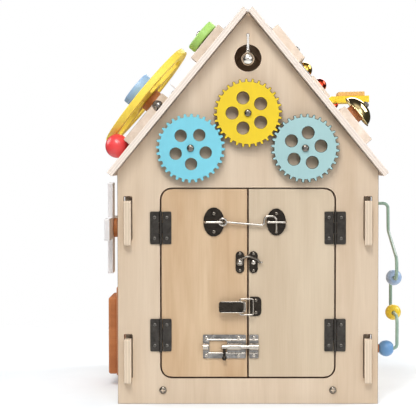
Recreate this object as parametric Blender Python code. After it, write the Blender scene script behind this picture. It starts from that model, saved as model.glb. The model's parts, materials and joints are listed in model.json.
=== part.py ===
"""Wooden activity house: a gabled toy house with latched doors, gears, a bell and roof and wall activities.

Metres, +Z up. The origin is the middle of the front panel's bottom edge, midway through its thickness.
The front of the house faces -Y.
"""
import math

import bmesh
import bpy
from mathutils import Matrix, Vector

# Fits and finish
GAP = 0.0003
SINK = 0.0002
RUNNING_GAP = 0.0004
OVERRUN = 0.002
EDGE_ROUND = 0.0008
WELD = 0.00001

# House
PLY = 0.008
HOUSE_WIDTH = 0.300
HOUSE_DEPTH = 0.300
EAVE_HEIGHT = 0.269
ROOF_PITCH_DEG = 50.5
ROOF_PLY = 0.007
ROOF_LENGTH = 0.244
ROOF_OVERHANG = 0.015
BASE_UNDERSIDE = 0.012
CLEAT_SIDE = 0.012
CLEAT_START = 0.028
CLEAT_LENGTH = 0.160

# Hook tenons and their slots
SIDE_PANEL_INSET = 0.008
SLOT_WIDTH = 0.0094
SLOT_HEIGHT = 0.050
SLOT_CORNER = 0.0008
UPPER_SLOT_BASE = 0.1894
LOWER_SLOT_BASE = 0.0304
SLOT_HEADROOM = 0.0048
TAB_PROUD = 0.009
TAB_LIP = 0.0058
TAB_CORNER = 0.0018

# Doors
DOORWAY_WIDTH = 0.2017
DOORWAY_HEIGHT = 0.2194
DOORWAY_SILL = 0.030
DOORWAY_CORNER = 0.013
DOOR_GAP = 0.0012

# Butt hinges
LEAF_HEIGHT = 0.0375
LEAF_REACH = 0.0123
LEAF_THICKNESS = 0.001
LEAF_CORNER = 0.001
KNUCKLE_RADIUS = 0.0018
KNUCKLE_LIFT = 0.0001
PIN_RADIUS = 0.001
PIN_CAP_SHARE = 0.8
UPPER_HINGE_HEIGHT = 0.2035
LOWER_HINGE_HEIGHT = 0.0798
HINGE_SCREW_REACH = 0.0070
HINGE_SCREW_SPREAD = 0.0120
SMALL_HEAD_RADIUS = 0.0017
SMALL_HEAD_HEIGHT = 0.0009

# Latches: every place is from the doors' split (x) and the floor (z)
LATCH_PLATE = 0.0012
FLAT_HEAD_HEIGHT = 0.0005
STAPLE_WIRE = 0.0013
STAPLE_STANDOFF = 0.0077
STAPLE_BEND = 0.0022
CABIN_HEIGHT = 0.2103
CABIN_PLATE_X = -0.0391
CABIN_PLATE_WIDTH = 0.0241
CABIN_PLATE_HEIGHT = 0.0333
CABIN_STAPLE_HALF = 0.01035
KEEPER_PLATE_X = 0.0326
KEEPER_PLATE_WIDTH = 0.0223
KEEPER_PLATE_HEIGHT = 0.0310
KEEPER_STAPLE_HALF = 0.0109
CABIN_SCREW_RISE = 0.0096
CABIN_SCREW_DROP = 0.0112
HOOK_WIRE = 0.0013
HOOK_EYE_RADIUS = 0.0040
HOOK_EYE_WIRE = 0.0014
HOOK_DROP = 0.0037
HOOK_RISER_X = 0.0186
HOOK_ARCH_RISE = 0.0068
HOOK_TIP_DROP = 0.0117
HOOK_BEND = 0.0024

SMALL_PLATE_WIDTH = 0.0100
SMALL_PLATE_HEIGHT = 0.0253
SMALL_LEFT_X = -0.0092
SMALL_RIGHT_X = 0.0063
SMALL_HEIGHT = 0.1640
SMALL_SCREW_SPREAD = 0.0096
STUD_RADIUS = 0.0016
STUD_HEAD_RADIUS = 0.0027
STUD_HEAD_HEIGHT = 0.0012
STUD_LENGTH = 0.0034
SMALL_WIRE = 0.0011
SMALL_EYE_RADIUS = 0.0032
SMALL_ARCH_RISE = 0.0072
SMALL_TIP_REACH = 0.0045

TOGGLE_HEIGHT = 0.1130
TOGGLE_PIN_X = -0.0045
TOGGLE_PIN_STANDOFF = 0.0045
TOGGLE_PIN_RADIUS = 0.0010
TOGGLE_SHEET = 0.0007
LEVER_LENGTH = 0.0288
LEVER_HEEL = 0.0010
LEVER_HALF_WIDTH = 0.0063
LEVER_TOP_STANDOFF = 0.0034
LEVER_SKIRT = 0.0060
LEVER_TOE = 0.0025
EAR_HALF_SPAN = 0.0050
EAR_HALF_WIDTH = 0.0023
BASE_LENGTH = 0.0270
BAIL_PIVOT_BACK = 0.0045
BAIL_WIRE = 0.0009
BAIL_HALF_WIDTH = 0.0091
BAIL_BAR_X = 0.0060
BAIL_BEND = 0.0016
STRIKE_LEFT_X = 0.0023
STRIKE_RIGHT_X = 0.0155
STRIKE_HALF_HEIGHT = 0.0112
STRIKE_LIP_X = 0.0034
STRIKE_LIP_HALF = 0.0062
STRIKE_LIP_HEIGHT = 0.0052
STRIKE_SCREW_X = 0.0090
STRIKE_SCREW_SPREAD = 0.0070

BOLT_HEIGHT = 0.0667
BOLT_PLATE_LEFT_X = -0.0517
BOLT_PLATE_RIGHT_X = -0.0023
BOLT_PLATE_HALF = 0.0137
BOLT_WINDOW_LEFT_X = -0.0445
BOLT_WINDOW_RIGHT_X = -0.0240
BOLT_WINDOW_HALF = 0.0066
BOLT_ROD_RADIUS = 0.0026
BOLT_ROD_LEFT_X = -0.0305
BOLT_ROD_RIGHT_X = 0.0115
TUNNEL_WALL = 0.0010
TUNNEL_SHORT = 0.0062
TUNNEL_LONG = 0.0160
TUNNEL_LONG_RIGHT_X = -0.0078
KNOB_X = -0.0271
KNOB_STEM_RADIUS = 0.0014
KNOB_RADIUS = 0.0026
KNOB_DROP = 0.0134
BOLT_KEEPER_LEFT_X = 0.0015
BOLT_KEEPER_RIGHT_X = 0.0122
BOLT_SCREW_SPREAD = 0.0104
BOLT_SCREW_LEFT_X = -0.0480
BOLT_SCREW_RIGHT_X = -0.0108
BOLT_KEEPER_SCREW_X = 0.0068

# Gears
GEAR_TEETH = 32
GEAR_MODULE = 0.0024
GEAR_THICKNESS = 0.006
GEAR_STANDOFF = 0.004
GEAR_ADDENDUM = 0.0009
GEAR_DEDENDUM = 0.0026
GEAR_ROOT_HALF = 0.0019
GEAR_TIP_HALF = 0.0012
GEAR_ROOF_GAP = 0.009427693
GEAR_SPREAD = 0.0655
GEAR_HOLES = 5
GEAR_HOLE_RADIUS = 0.0070
GEAR_HOLE_CIRCLE = 0.0180
GEAR_BORE = 0.0031
GEAR_HOLE_TURNS = {"yellow_gear": 36, "cyan_gear": 56, "teal_gear": 8}
GEAR_FINISHES = {"yellow_gear": "yellow_paint", "cyan_gear": "cyan_paint", "teal_gear": "teal_paint"}
PIVOT_RADIUS = 0.0025
PIVOT_HEAD_RADIUS = 0.0040
PIVOT_HEAD_HEIGHT = 0.0028
PIVOT_NUT_RADIUS = 0.0046
PIVOT_NUT_HEIGHT = 0.0040
SPACER_RADIUS = 0.0065

# Bell in the gable
BELL_BELOW_APEX = 0.052964551
BELL_HOLE_RADIUS = 0.01525
BELL_RADIUS = 0.0085
BELL_WALL = 0.0008
BELL_DROP = 0.0013
BELL_STANDOFF = 0.0016
BELL_SLOT = 0.0016
BELL_SLOT_LENGTH = 0.0110
BELL_LOOP_RADIUS = 0.0016
BELL_LOOP_WIRE = 0.0006
CORD_BELOW_APEX = 0.026564551
CORD_HOLE_RADIUS = 0.0018
CORD_RADIUS = 0.0011
KNOT_RADIUS = 0.0030

# Bolts at the foot
BASE_BOLT_X = 0.098
BASE_BOLT_RADIUS = 0.002
BASE_BOLT_LENGTH = 0.024
BASE_BOLT_HEAD_RADIUS = 0.0041
BASE_BOLT_HEAD_HEIGHT = 0.0024

# Screws through the roof
ROOF_SCREW_RADIUS = 0.0016
ROOF_SCREW_LENGTH = 0.0145
ROOF_SCREW_HEAD_RADIUS = 0.0032
ROOF_SCREW_HEAD_HEIGHT = 0.0026
ROOF_SCREW_NEAR = 0.0305
ROOF_SCREW_FAR = 0.1260

# Left wall: windmill and block
WINDMILL_Y = 0.150
WINDMILL_HEIGHT = 0.196
WINDMILL_REACH = 0.0568
WINDMILL_ARM = 0.0267
WINDMILL_THICKNESS = 0.0065
WINDMILL_STANDOFF = 0.0268
WINDMILL_CORNER = 0.0020
WINDMILL_SPACER_RADIUS = 0.0118
WALL_BOARD_FRONT_Y = 0.112
WALL_BOARD_LENGTH = 0.078
WALL_BOARD_FOOT = 0.015
WALL_BOARD_HEIGHT = 0.109
WALL_BOARD_THICKNESS = 0.0204
WALL_BLOCK_FRONT_Y = 0.120
WALL_BLOCK_LENGTH = 0.062
WALL_BLOCK_HEIGHT = 0.096
WALL_BLOCK_THICKNESS = 0.0108
WALL_BLOCK_ROUND = 0.0043

# Right wall: wire and beads
WIRE_RADIUS = 0.0020
WIRE_OFFSET = 0.0360
WIRE_SOCKET_DEPTH = 0.005
WIRE_BEND = 0.0100
WIRE_TOP_BEND = 0.0060
WIRE_WIDE_BEND = 0.0120
WIRE_TIGHT_BEND = 0.0048
WIRE_TOP_Y = 0.168
WIRE_TOP_HEIGHT = 0.226
WIRE_KNEE_Y = 0.164
WIRE_KNEE_HEIGHT = 0.192
WIRE_FRONT_Y = 0.060
WIRE_FRONT_HEIGHT = 0.163
WIRE_RUN_ONE_HEIGHT = 0.138
WIRE_BACK_Y = 0.131
WIRE_RUN_TWO_HEIGHT = 0.0947
WIRE_FOOT_Y = 0.054
WIRE_FOOT_HEIGHT = 0.0565
DOWEL_RADIUS = 0.0050
DOWEL_LENGTH = 0.0142
BEAD_RADIUS = 0.0096
BEAD_HALF_LENGTH = 0.0084
BEAD_BORE = 0.0026
UPPER_BEAD_Y = 0.093
LOWER_BEAD_Y = 0.100

# Roof boards, in slope coordinates: s down the slope, y from the front, h above the roof
BOARD_THICKNESS = 0.012
BOARD_FRONT_Y = 0.025
BOARD_LENGTH = 0.150
RIDGE_BOARD_START = 0.0310
RIDGE_BOARD_END = 0.0812
PIVOT_HOLE = 0.0031

GREEN_DISC_S = 0.0524
GREEN_DISC_Y = 0.060
GREEN_DISC_RADIUS = 0.0202
GREEN_DISC_THICKNESS = 0.0098
GREEN_WASHER = 0.0022
GREEN_WASHER_RADIUS = 0.0070

WHITE_BLOCK_END = 0.1205
WHITE_BLOCK_THICKNESS = 0.0110

WHEEL_BOARD_START = 0.1345
WHEEL_BOARD_END = 0.2050
WHEEL_S = 0.150
WHEEL_Y = 0.100
HUB_RADIUS = 0.0139
HUB_HEIGHT = 0.0124
WHEEL_RADIUS = 0.0725
WHEEL_RIM = 0.0130
WHEEL_THICKNESS = 0.0086
WHEEL_HUB_RADIUS = 0.0220
WHEEL_SPOKE = 0.0150
WHEEL_SPOKES = 3
CAP_RADIUS = 0.0213
CAP_THICKNESS = 0.0102
CAP_COLLAR_RADIUS = 0.0110
CAP_COLLAR_HEIGHT = 0.0032
CAP_RECESS_DEPTH = 0.0034
END_NUT_S = 0.1486
END_NUT_RADIUS = 0.0048
END_NUT_DEPTH = 0.0050
END_RECESS_RADIUS = 0.0055
END_RECESS_DEPTH = 0.0045

BALL_S = 0.2166
BALL_Y = 0.050
BALL_RADIUS = 0.0142
BALL_LIFT = 0.0006
BALL_STEM_RADIUS = 0.0040
BALL_STEM_LENGTH = 0.0100
BALL_SCOOP = 0.0006

THIN_BOARD_THICKNESS = 0.0040
THIN_BOARD_STEP = 0.0021
THIN_STRIP_END = 0.1030
THIN_BOARD_END = 0.1345
THIN_BOARD_MARGIN = 0.0005
DOME_Y = 0.060
GOLD_DOME_S = 0.0911
GOLD_DOME_RADIUS = 0.0092
GOLD_DOME_HEIGHT = 0.0094
RED_DOME_S = 0.1167
RED_DOME_RADIUS = 0.0083
RED_DOME_HEIGHT = 0.0085
BOARD_SCREW_S = 0.0669
BOARD_SCREW_Y = 0.040

BELL_BOARD_START = 0.1543
BELL_BOARD_END = 0.2045
BELL_BOARD_LENGTH = 0.090
ROOF_BELL_S = 0.1702
ROOF_BELL_Y = 0.094
POST_RADIUS = 0.0109
POST_HEIGHT = 0.0135
ROOF_BELL_LIFT = 0.0109
ROOF_BELL_RADIUS = 0.0203
ROOF_BELL_CROWN = 0.0148
ROOF_BELL_WALL = 0.0012
ROOF_BELL_LIP = 0.0014
ROOF_BELL_HOLE = 0.0024
BELL_NUT_RADIUS = 0.0036
BELL_NUT_HEIGHT = 0.0026
NUT_DOME_SHARE = 1.5
BELL_BOLT_RADIUS = 0.0019
BELL_BOLT_LENGTH = 0.0090

FLAP_BASE_START = 0.1348
FLAP_BASE_END = 0.1534
FLAP_BASE_FRONT_Y = 0.117
FLAP_BASE_LENGTH = 0.073
FLAP_BASE_THICKNESS = 0.0085
FLAP_S = 0.1398
FLAP_THICKNESS = 0.0080
FLAP_LENGTH = 0.0460
FLAP_FRONT_Y = 0.1316
FLAP_WIDTH = 0.0530
FLAP_EAR = 0.0045
FLAP_PIN_RADIUS = 0.0012
FLAP_OPEN_DEG = 52.0
TAN_BAR_START = 0.0080
TAN_BAR_LENGTH = 0.0330
TAN_BAR_THICKNESS = 0.0058
TAN_BAR_WIDTH = 0.0440
RED_STUD_S = 0.1480
RED_STUD_Y = 0.1215
RED_STUD_RADIUS = 0.0030
RED_STUD_HEIGHT = 0.0060

# Worked out from the driving sizes
PITCH = math.radians(ROOF_PITCH_DEG)
APEX = EAVE_HEIGHT + HOUSE_WIDTH / 2 * math.tan(PITCH)
FRONT = -PLY / 2
INSIDE_FRONT = PLY / 2
BACK = HOUSE_DEPTH - PLY / 2
INSIDE_BACK = BACK - PLY
SIDE_OUTSIDE = HOUSE_WIDTH / 2 - SIDE_PANEL_INSET
SIDE_INSIDE = SIDE_OUTSIDE - PLY
SIDE_MIDDLE = (SIDE_OUTSIDE + SIDE_INSIDE) / 2
DOOR_HINGE_X = DOORWAY_WIDTH / 2 - DOOR_GAP / 2
HINGE_PIN_Y = FRONT - GAP - KNUCKLE_RADIUS - KNUCKLE_LIFT
PLATE_FRONT = FRONT - GAP - LATCH_PLATE
GEAR_DISTANCE = GEAR_MODULE * GEAR_TEETH
GEAR_REACH = GEAR_DISTANCE / 2 + GEAR_ADDENDUM + GEAR_ROOF_GAP + GEAR_SPREAD * math.sin(PITCH)
GEAR_LOW_HEIGHT = APEX - GEAR_REACH / math.cos(PITCH)
GEAR_TOP_HEIGHT = GEAR_LOW_HEIGHT + math.sqrt(GEAR_DISTANCE**2 - GEAR_SPREAD**2)
BELL_HOLE_HEIGHT = APEX - BELL_BELOW_APEX
CORD_HOLE_HEIGHT = APEX - CORD_BELOW_APEX
ROUND_SIDES = 20
SMALL_SIDES = 8
WIRE_SIDES = 12
MEDIUM_SIDES = 16
LARGE_SIDES = 24
WHEEL_SIDES = 48
BEND_STEPS = 4
DOME_STEPS = 6
PAN_SHOULDER = 0.92
PAN_CROWN = 0.55
CORNER_CUT = 0.3
KNUCKLES = 3
SMOOTH_DEG = 30

WOODS = {
    "birch": ((0.68, 0.53, 0.37), 0.55),
    "warm_birch": ((0.68, 0.48, 0.28), 0.5),
    "pale_birch": ((0.76, 0.64, 0.49), 0.55),
    "brown_wood": ((0.42, 0.17, 0.07), 0.5),
    "tan_wood": ((0.72, 0.45, 0.2), 0.5),
    "yellow_paint": ((0.89, 0.66, 0.04), 0.4),
    "cyan_paint": ((0.21, 0.68, 0.81), 0.4),
    "teal_paint": ((0.38, 0.58, 0.6), 0.4),
    "green_paint": ((0.35, 0.62, 0.18), 0.4),
    "blue_paint": ((0.3, 0.5, 0.78), 0.4),
    "red_paint": ((0.78, 0.06, 0.06), 0.25),
    "white_paint": ((0.86, 0.86, 0.87), 0.4),
    "wire_paint": ((0.25, 0.45, 0.36), 0.35),
    "cord": ((0.9, 0.89, 0.86), 0.8),
}
METALS = {
    "steel": ((0.6, 0.58, 0.55), 0.3),
    "black_metal": ((0.04, 0.035, 0.03), 0.4),
    "gold": ((0.83, 0.6, 0.25), 0.2),
    "red_metal": ((0.6, 0.05, 0.04), 0.2),
}


def clear_scene():
    for item in list(bpy.data.objects):
        bpy.data.objects.remove(item, do_unlink=True)


def finish_of(name):
    """The material of that name, made once."""
    found = bpy.data.materials.get(name)
    if found:
        return found
    metallic = 1.0 if name in METALS else 0.0
    colour, roughness = METALS[name] if name in METALS else WOODS[name]
    made = bpy.data.materials.new(name)
    made.use_nodes = True
    shader = made.node_tree.nodes["Principled BSDF"]
    shader.inputs["Base Color"].default_value = (*colour, 1.0)
    shader.inputs["Roughness"].default_value = roughness
    shader.inputs["Metallic"].default_value = metallic
    return made


def mesh_object(name, bm, finish="birch", smooth_deg=None, matrix=None):
    """Turns a closed bmesh into a named object with its finish."""
    bmesh.ops.recalc_face_normals(bm, faces=bm.faces)
    mesh = bpy.data.meshes.new(name)
    bm.to_mesh(mesh)
    bm.free()
    made = bpy.data.objects.new(name, mesh)
    bpy.context.collection.objects.link(made)
    made.data.materials.append(finish_of(finish))
    if matrix is not None:
        made.matrix_world = matrix
    if smooth_deg is not None:
        round_shading(made, smooth_deg)
    return made


def round_shading(item, degrees=35):
    item.data.shade_smooth()
    item.data.set_sharp_from_angle(angle=math.radians(degrees))


def combine(target, tool, operation="UNION"):
    """Joins or cuts two closed solids and keeps the result in the target."""
    bpy.context.view_layer.update()
    name = target.name
    modifier = target.modifiers.new(operation.lower(), "BOOLEAN")
    modifier.operation = operation
    modifier.solver = "EXACT"
    modifier.object = tool
    depsgraph = bpy.context.evaluated_depsgraph_get()
    result = bpy.data.meshes.new_from_object(target.evaluated_get(depsgraph))
    target.modifiers.clear()
    target.data = result
    result.name = name
    bpy.data.objects.remove(tool, do_unlink=True)
    return target


def cut(target, tool):
    return combine(target, tool, "DIFFERENCE")


def fuse(target, pieces):
    """Joins pieces that are fixed together into the target's one solid."""
    for piece in pieces:
        combine(target, piece)
    round_shading(target)
    return target


def circle(radius, sides=ROUND_SIDES, centre=(0.0, 0.0), phase=0.0):
    points = []
    for i in range(sides):
        angle = phase + 2 * math.pi * i / sides
        points.append((centre[0] + radius * math.cos(angle), centre[1] + radius * math.sin(angle)))
    return points


def rectangle(left, right, low, high, corner=0.0, steps=3):
    """A rectangle's outline, its corners rounded by arcs."""
    if not corner:
        return [(left, low), (right, low), (right, high), (left, high)]
    points = []
    centres = ((right - corner, low + corner, -90), (right - corner, high - corner, 0),
               (left + corner, high - corner, 90), (left + corner, low + corner, 180))
    for x, z, start in centres:
        for i in range(steps + 1):
            angle = math.radians(start + 90 * i / steps)
            points.append((x + corner * math.cos(angle), z + corner * math.sin(angle)))
    return points


def plate(name, outline, holes, low, high, finish="birch", matrix=None, smooth_deg=None):
    """Fills an outline with its holes and extrudes it along local z from low to high."""
    bm = bmesh.new()
    edges = []
    for loop in [outline] + list(holes):
        verts = [bm.verts.new((x, y, low)) for x, y in loop]
        for i, vert in enumerate(verts):
            edges.append(bm.edges.new((vert, verts[(i + 1) % len(verts)])))
    bmesh.ops.triangle_fill(bm, use_beauty=True, edges=edges)
    moved = bmesh.ops.extrude_face_region(bm, geom=bm.faces[:])
    top = [item for item in moved["geom"] if isinstance(item, bmesh.types.BMVert)]
    bmesh.ops.translate(bm, verts=top, vec=(0, 0, high - low))
    return mesh_object(name, bm, finish, smooth_deg, matrix)


def turned(name, profile, sides=ROUND_SIDES, finish="birch", matrix=None, smooth_deg=35):
    """Spins a profile of (radius, height) points round local z; points on the axis close the ends."""
    bm = bmesh.new()
    verts = [bm.verts.new((radius, 0, height)) for radius, height in profile]
    edges = [bm.edges.new(pair) for pair in zip(verts, verts[1:])]
    if profile[0][0] > 0:
        edges.append(bm.edges.new((verts[-1], verts[0])))
    bmesh.ops.spin(bm, geom=verts + edges, cent=(0, 0, 0), axis=(0, 0, 1), angle=2 * math.pi,
                   steps=sides, use_merge=True)
    bmesh.ops.remove_doubles(bm, verts=bm.verts, dist=WELD)
    return mesh_object(name, bm, finish, smooth_deg, matrix)


def tube(name, points, radius, finish="steel", matrix=None, closed=False, resolution=2):
    """A round wire along a path, with filled ends."""
    data = bpy.data.curves.new(name, "CURVE")
    data.dimensions = "3D"
    data.bevel_depth = radius
    data.bevel_resolution = resolution
    data.use_fill_caps = True
    spline = data.splines.new("POLY")
    spline.points.add(len(points) - 1)
    for slot, point in zip(spline.points, points):
        slot.co = (*point, 1.0)
    spline.use_cyclic_u = closed
    wire = bpy.data.objects.new(name + "_path", data)
    bpy.context.collection.objects.link(wire)
    bpy.context.view_layer.update()
    depsgraph = bpy.context.evaluated_depsgraph_get()
    mesh = bpy.data.meshes.new_from_object(wire.evaluated_get(depsgraph))
    bpy.data.objects.remove(wire, do_unlink=True)
    bm = bmesh.new()
    bm.from_mesh(mesh)
    bmesh.ops.remove_doubles(bm, verts=bm.verts, dist=WELD)
    return mesh_object(name, bm, finish, 50, matrix)


def bent_path(corners, bend, steps=5):
    """A path through the corners with each inner corner turned into an arc of the bend's radius."""
    points = [Vector(corners[0])]
    for i in range(1, len(corners) - 1):
        radius = bend[i - 1] if isinstance(bend, (list, tuple)) else bend
        corner = Vector(corners[i])
        before = (Vector(corners[i - 1]) - corner).normalized()
        after = (Vector(corners[i + 1]) - corner).normalized()
        half = before.angle(after) / 2
        reach = radius / math.tan(half)
        bisector = (before + after).normalized()
        centre = corner + bisector * (radius / math.sin(half))
        start = corner + before * reach - centre
        turn = math.pi - 2 * half
        axis = start.cross(corner + after * reach - centre).normalized()
        for step in range(steps + 1):
            points.append(centre + Matrix.Rotation(turn * step / steps, 3, axis) @ start)
    points.append(Vector(corners[-1]))
    return points


def basis(origin, x_axis, y_axis):
    """A placing matrix from an origin and two axes at right angles."""
    x_axis, y_axis = Vector(x_axis), Vector(y_axis)
    z_axis = x_axis.cross(y_axis)
    turn = Matrix((x_axis, y_axis, z_axis)).transposed()
    return Matrix.Translation(origin) @ turn.to_4x4()


def upright(y):
    """Local x and y become X and Z, and local z runs to the front from the plane at y."""
    return basis((0, y, 0), (1, 0, 0), (0, 0, 1))


def forward(x, y, z):
    """Local z points to the front, from a place."""
    return basis((x, y, z), (1, 0, 0), (0, 0, 1))


def backward(x, y, z):
    """Local z points to the back, from a place."""
    return basis((x, y, z), (-1, 0, 0), (0, 0, 1))


def slope(side):
    """Slope coordinates: x down the slope, z out of the roof, y along the ridge."""
    along = Vector((side * math.cos(PITCH), 0, -math.sin(PITCH)))
    out = Vector((side * math.sin(PITCH), 0, math.cos(PITCH)))
    origin = Vector((0, 0, APEX)) + out * (GAP + ROOF_PLY)
    return basis(origin, along, out.cross(along))


def on_slope(side, s, y, h=0.0):
    """A placing matrix at a place on a slope."""
    return slope(side) @ Matrix.Translation((s, side * y, h))


def hinge_empty(name, place):
    made = bpy.data.objects.new(name, None)
    bpy.context.collection.objects.link(made)
    made.location = place
    bpy.context.view_layer.update()
    return made


def carry(empty, pieces):
    """Parents pieces to the empty on their joint's axis, where they are."""
    for piece in pieces:
        piece.parent = empty
        piece.matrix_parent_inverse = empty.matrix_world.inverted()


def pan_head(radius, height, shank, depth, sides=SMALL_SIDES):
    """Profile of a domed screw, with its shank below the seat at height zero."""
    return [(0, -depth), (shank, -depth), (shank, 0), (radius, 0),
            (radius * PAN_SHOULDER, height * PAN_CROWN), (radius * PAN_CROWN, height), (0, height)]


def pivot_bolt(name, length, matrix, finish="steel"):
    """Domed bolt with its nut: the head's seat is at zero and the nut's seat at -length."""
    profile = [(0, -length - PIVOT_NUT_HEIGHT), (PIVOT_NUT_RADIUS, -length - PIVOT_NUT_HEIGHT),
               (PIVOT_NUT_RADIUS, -length), (PIVOT_RADIUS, -length), (PIVOT_RADIUS, 0),
               (PIVOT_HEAD_RADIUS, 0), (PIVOT_HEAD_RADIUS, PIVOT_HEAD_HEIGHT / 2),
               (PIVOT_HEAD_RADIUS / 2, PIVOT_HEAD_HEIGHT), (0, PIVOT_HEAD_HEIGHT)]
    return turned(name, profile, SMALL_SIDES, finish, matrix)


def ring_disc(name, outer, bore, low, high, matrix, finish, sides=ROUND_SIDES):
    """A turned disc with a bore, its rims eased."""
    ease = EDGE_ROUND
    profile = [(bore, low), (outer - ease, low), (outer, low + ease), (outer, high - ease),
               (outer - ease, high), (bore, high)]
    return turned(name, profile, sides, finish, matrix)


def gable_outline():
    half = HOUSE_WIDTH / 2
    return [(-half, 0), (half, 0), (half, EAVE_HEIGHT), (0, APEX), (-half, EAVE_HEIGHT)]


def slot_outlines():
    slots = []
    for side in (-1, 1):
        for base in (LOWER_SLOT_BASE, UPPER_SLOT_BASE):
            middle = side * SIDE_MIDDLE
            slots.append(rectangle(middle - SLOT_WIDTH / 2, middle + SLOT_WIDTH / 2, base,
                                   base + SLOT_HEIGHT, SLOT_CORNER, 2))
    return slots


def base_bolt_holes():
    height = BASE_UNDERSIDE + PLY / 2
    radius = BASE_BOLT_RADIUS + RUNNING_GAP
    return [circle(radius, SMALL_SIDES, (side * BASE_BOLT_X, height)) for side in (-1, 1)]


def gear_places():
    return {"yellow_gear": (0.0, GEAR_TOP_HEIGHT), "cyan_gear": (-GEAR_SPREAD, GEAR_LOW_HEIGHT),
            "teal_gear": (GEAR_SPREAD, GEAR_LOW_HEIGHT)}


def make_gables():
    doorway = rectangle(-DOORWAY_WIDTH / 2, DOORWAY_WIDTH / 2, DOORWAY_SILL,
                        DOORWAY_SILL + DOORWAY_HEIGHT, DOORWAY_CORNER, 5)
    holes = slot_outlines() + base_bolt_holes() + [doorway]
    holes.append(circle(BELL_HOLE_RADIUS, ROUND_SIDES + 4, (0, BELL_HOLE_HEIGHT)))
    holes.append(circle(CORD_HOLE_RADIUS, SMALL_SIDES, (0, CORD_HOLE_HEIGHT)))
    for centre in gear_places().values():
        holes.append(circle(PIVOT_RADIUS + GAP, SMALL_SIDES, centre))
    front = plate("front_panel", gable_outline(), holes, -PLY / 2, PLY / 2, "birch", upright(0))
    knot = turned("knot", [(0, -PLY), (CORD_RADIUS, -PLY), (CORD_RADIUS, -SINK), (KNOT_RADIUS, -SINK),
                           (KNOT_RADIUS, KNOT_RADIUS), (0, KNOT_RADIUS)], SMALL_SIDES, "cord",
                  backward(0, INSIDE_FRONT, CORD_HOLE_HEIGHT))
    combine(front, knot)
    back = plate("back_panel", gable_outline(), slot_outlines() + base_bolt_holes(), -PLY / 2,
                 PLY / 2, "birch", upright(BACK - PLY / 2))
    return front, back


def side_outline():
    """Side panel seen from the side: its body with two hooks on each upright edge."""
    top = APEX - SIDE_OUTSIDE * math.tan(PITCH) - GAP
    faces = ((INSIDE_FRONT + GAP, FRONT, -1), (INSIDE_BACK - GAP, BACK, 1))
    points = [(faces[0][0], 0), (faces[1][0], 0)]
    for edge, outer, way in (faces[1], faces[0]):
        hooks = []
        for base in (LOWER_SLOT_BASE, UPPER_SLOT_BASE):
            seat = base + GAP
            lip = base - TAB_LIP
            crown = base + SLOT_HEIGHT - SLOT_HEADROOM
            inner = outer + way * GAP
            tip = outer + way * TAB_PROUD
            ease = TAB_CORNER
            hooks += [(edge, seat), (inner, seat), (inner, lip), (tip - way * ease, lip),
                      (tip - way * ease * CORNER_CUT, lip + ease * CORNER_CUT), (tip, lip + ease),
                      (tip, crown - ease), (tip - way * ease * CORNER_CUT, crown - ease * CORNER_CUT),
                      (tip - way * ease, crown), (edge, crown)]
        if way > 0:
            points += hooks + [(edge, top)]
        else:
            points += [(edge, top)] + hooks[::-1]
    return points


def make_side_panels(spacer, dowel):
    for side, name in ((-1, "left_side_panel"), (1, "right_side_panel")):
        place = basis((side * SIDE_MIDDLE, 0, 0), (0, 1, 0), (0, 0, 1))
        holes = []
        if side < 0:
            holes.append(circle(PIVOT_RADIUS + GAP, SMALL_SIDES, (WINDMILL_Y, WINDMILL_HEIGHT)))
        panel = plate(name, side_outline(), holes, -PLY / 2, PLY / 2, "birch", place)
        if side > 0:
            for y, z in ((WIRE_TOP_Y, WIRE_TOP_HEIGHT), (WIRE_FOOT_Y, WIRE_FOOT_HEIGHT)):
                start = SIDE_OUTSIDE - WIRE_SOCKET_DEPTH - GAP
                drill = turned("drill", [(0, 0), (WIRE_RADIUS + GAP, 0),
                                         (WIRE_RADIUS + GAP, WIRE_SOCKET_DEPTH + OVERRUN),
                                         (0, WIRE_SOCKET_DEPTH + OVERRUN)], SMALL_SIDES,
                               matrix=basis((start, y, z), (0, 1, 0), (0, 0, 1)))
                cut(panel, drill)
        fuse(panel, [dowel if side > 0 else spacer])


def make_base_board():
    half = SIDE_INSIDE - GAP
    outline = rectangle(-half, half, INSIDE_FRONT + GAP, INSIDE_BACK - GAP)
    board = plate("base_board", outline, [], BASE_UNDERSIDE, BASE_UNDERSIDE + PLY)
    height = BASE_UNDERSIDE + PLY / 2
    profile = pan_head(BASE_BOLT_HEAD_RADIUS, BASE_BOLT_HEAD_HEIGHT, BASE_BOLT_RADIUS, BASE_BOLT_LENGTH)
    for x in (-BASE_BOLT_X, BASE_BOLT_X):
        for place in (forward(x, FRONT - GAP, height), backward(x, BACK + GAP, height)):
            combine(board, turned("bolt", profile, SMALL_SIDES, "steel", place))


def roof_screw_places():
    ys = (INSIDE_FRONT + GAP + CLEAT_SIDE / 2, INSIDE_BACK - GAP - CLEAT_SIDE / 2)
    return [(side, s, y) for side in (-1, 1) for s in (ROOF_SCREW_NEAR, ROOF_SCREW_FAR) for y in ys]


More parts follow.
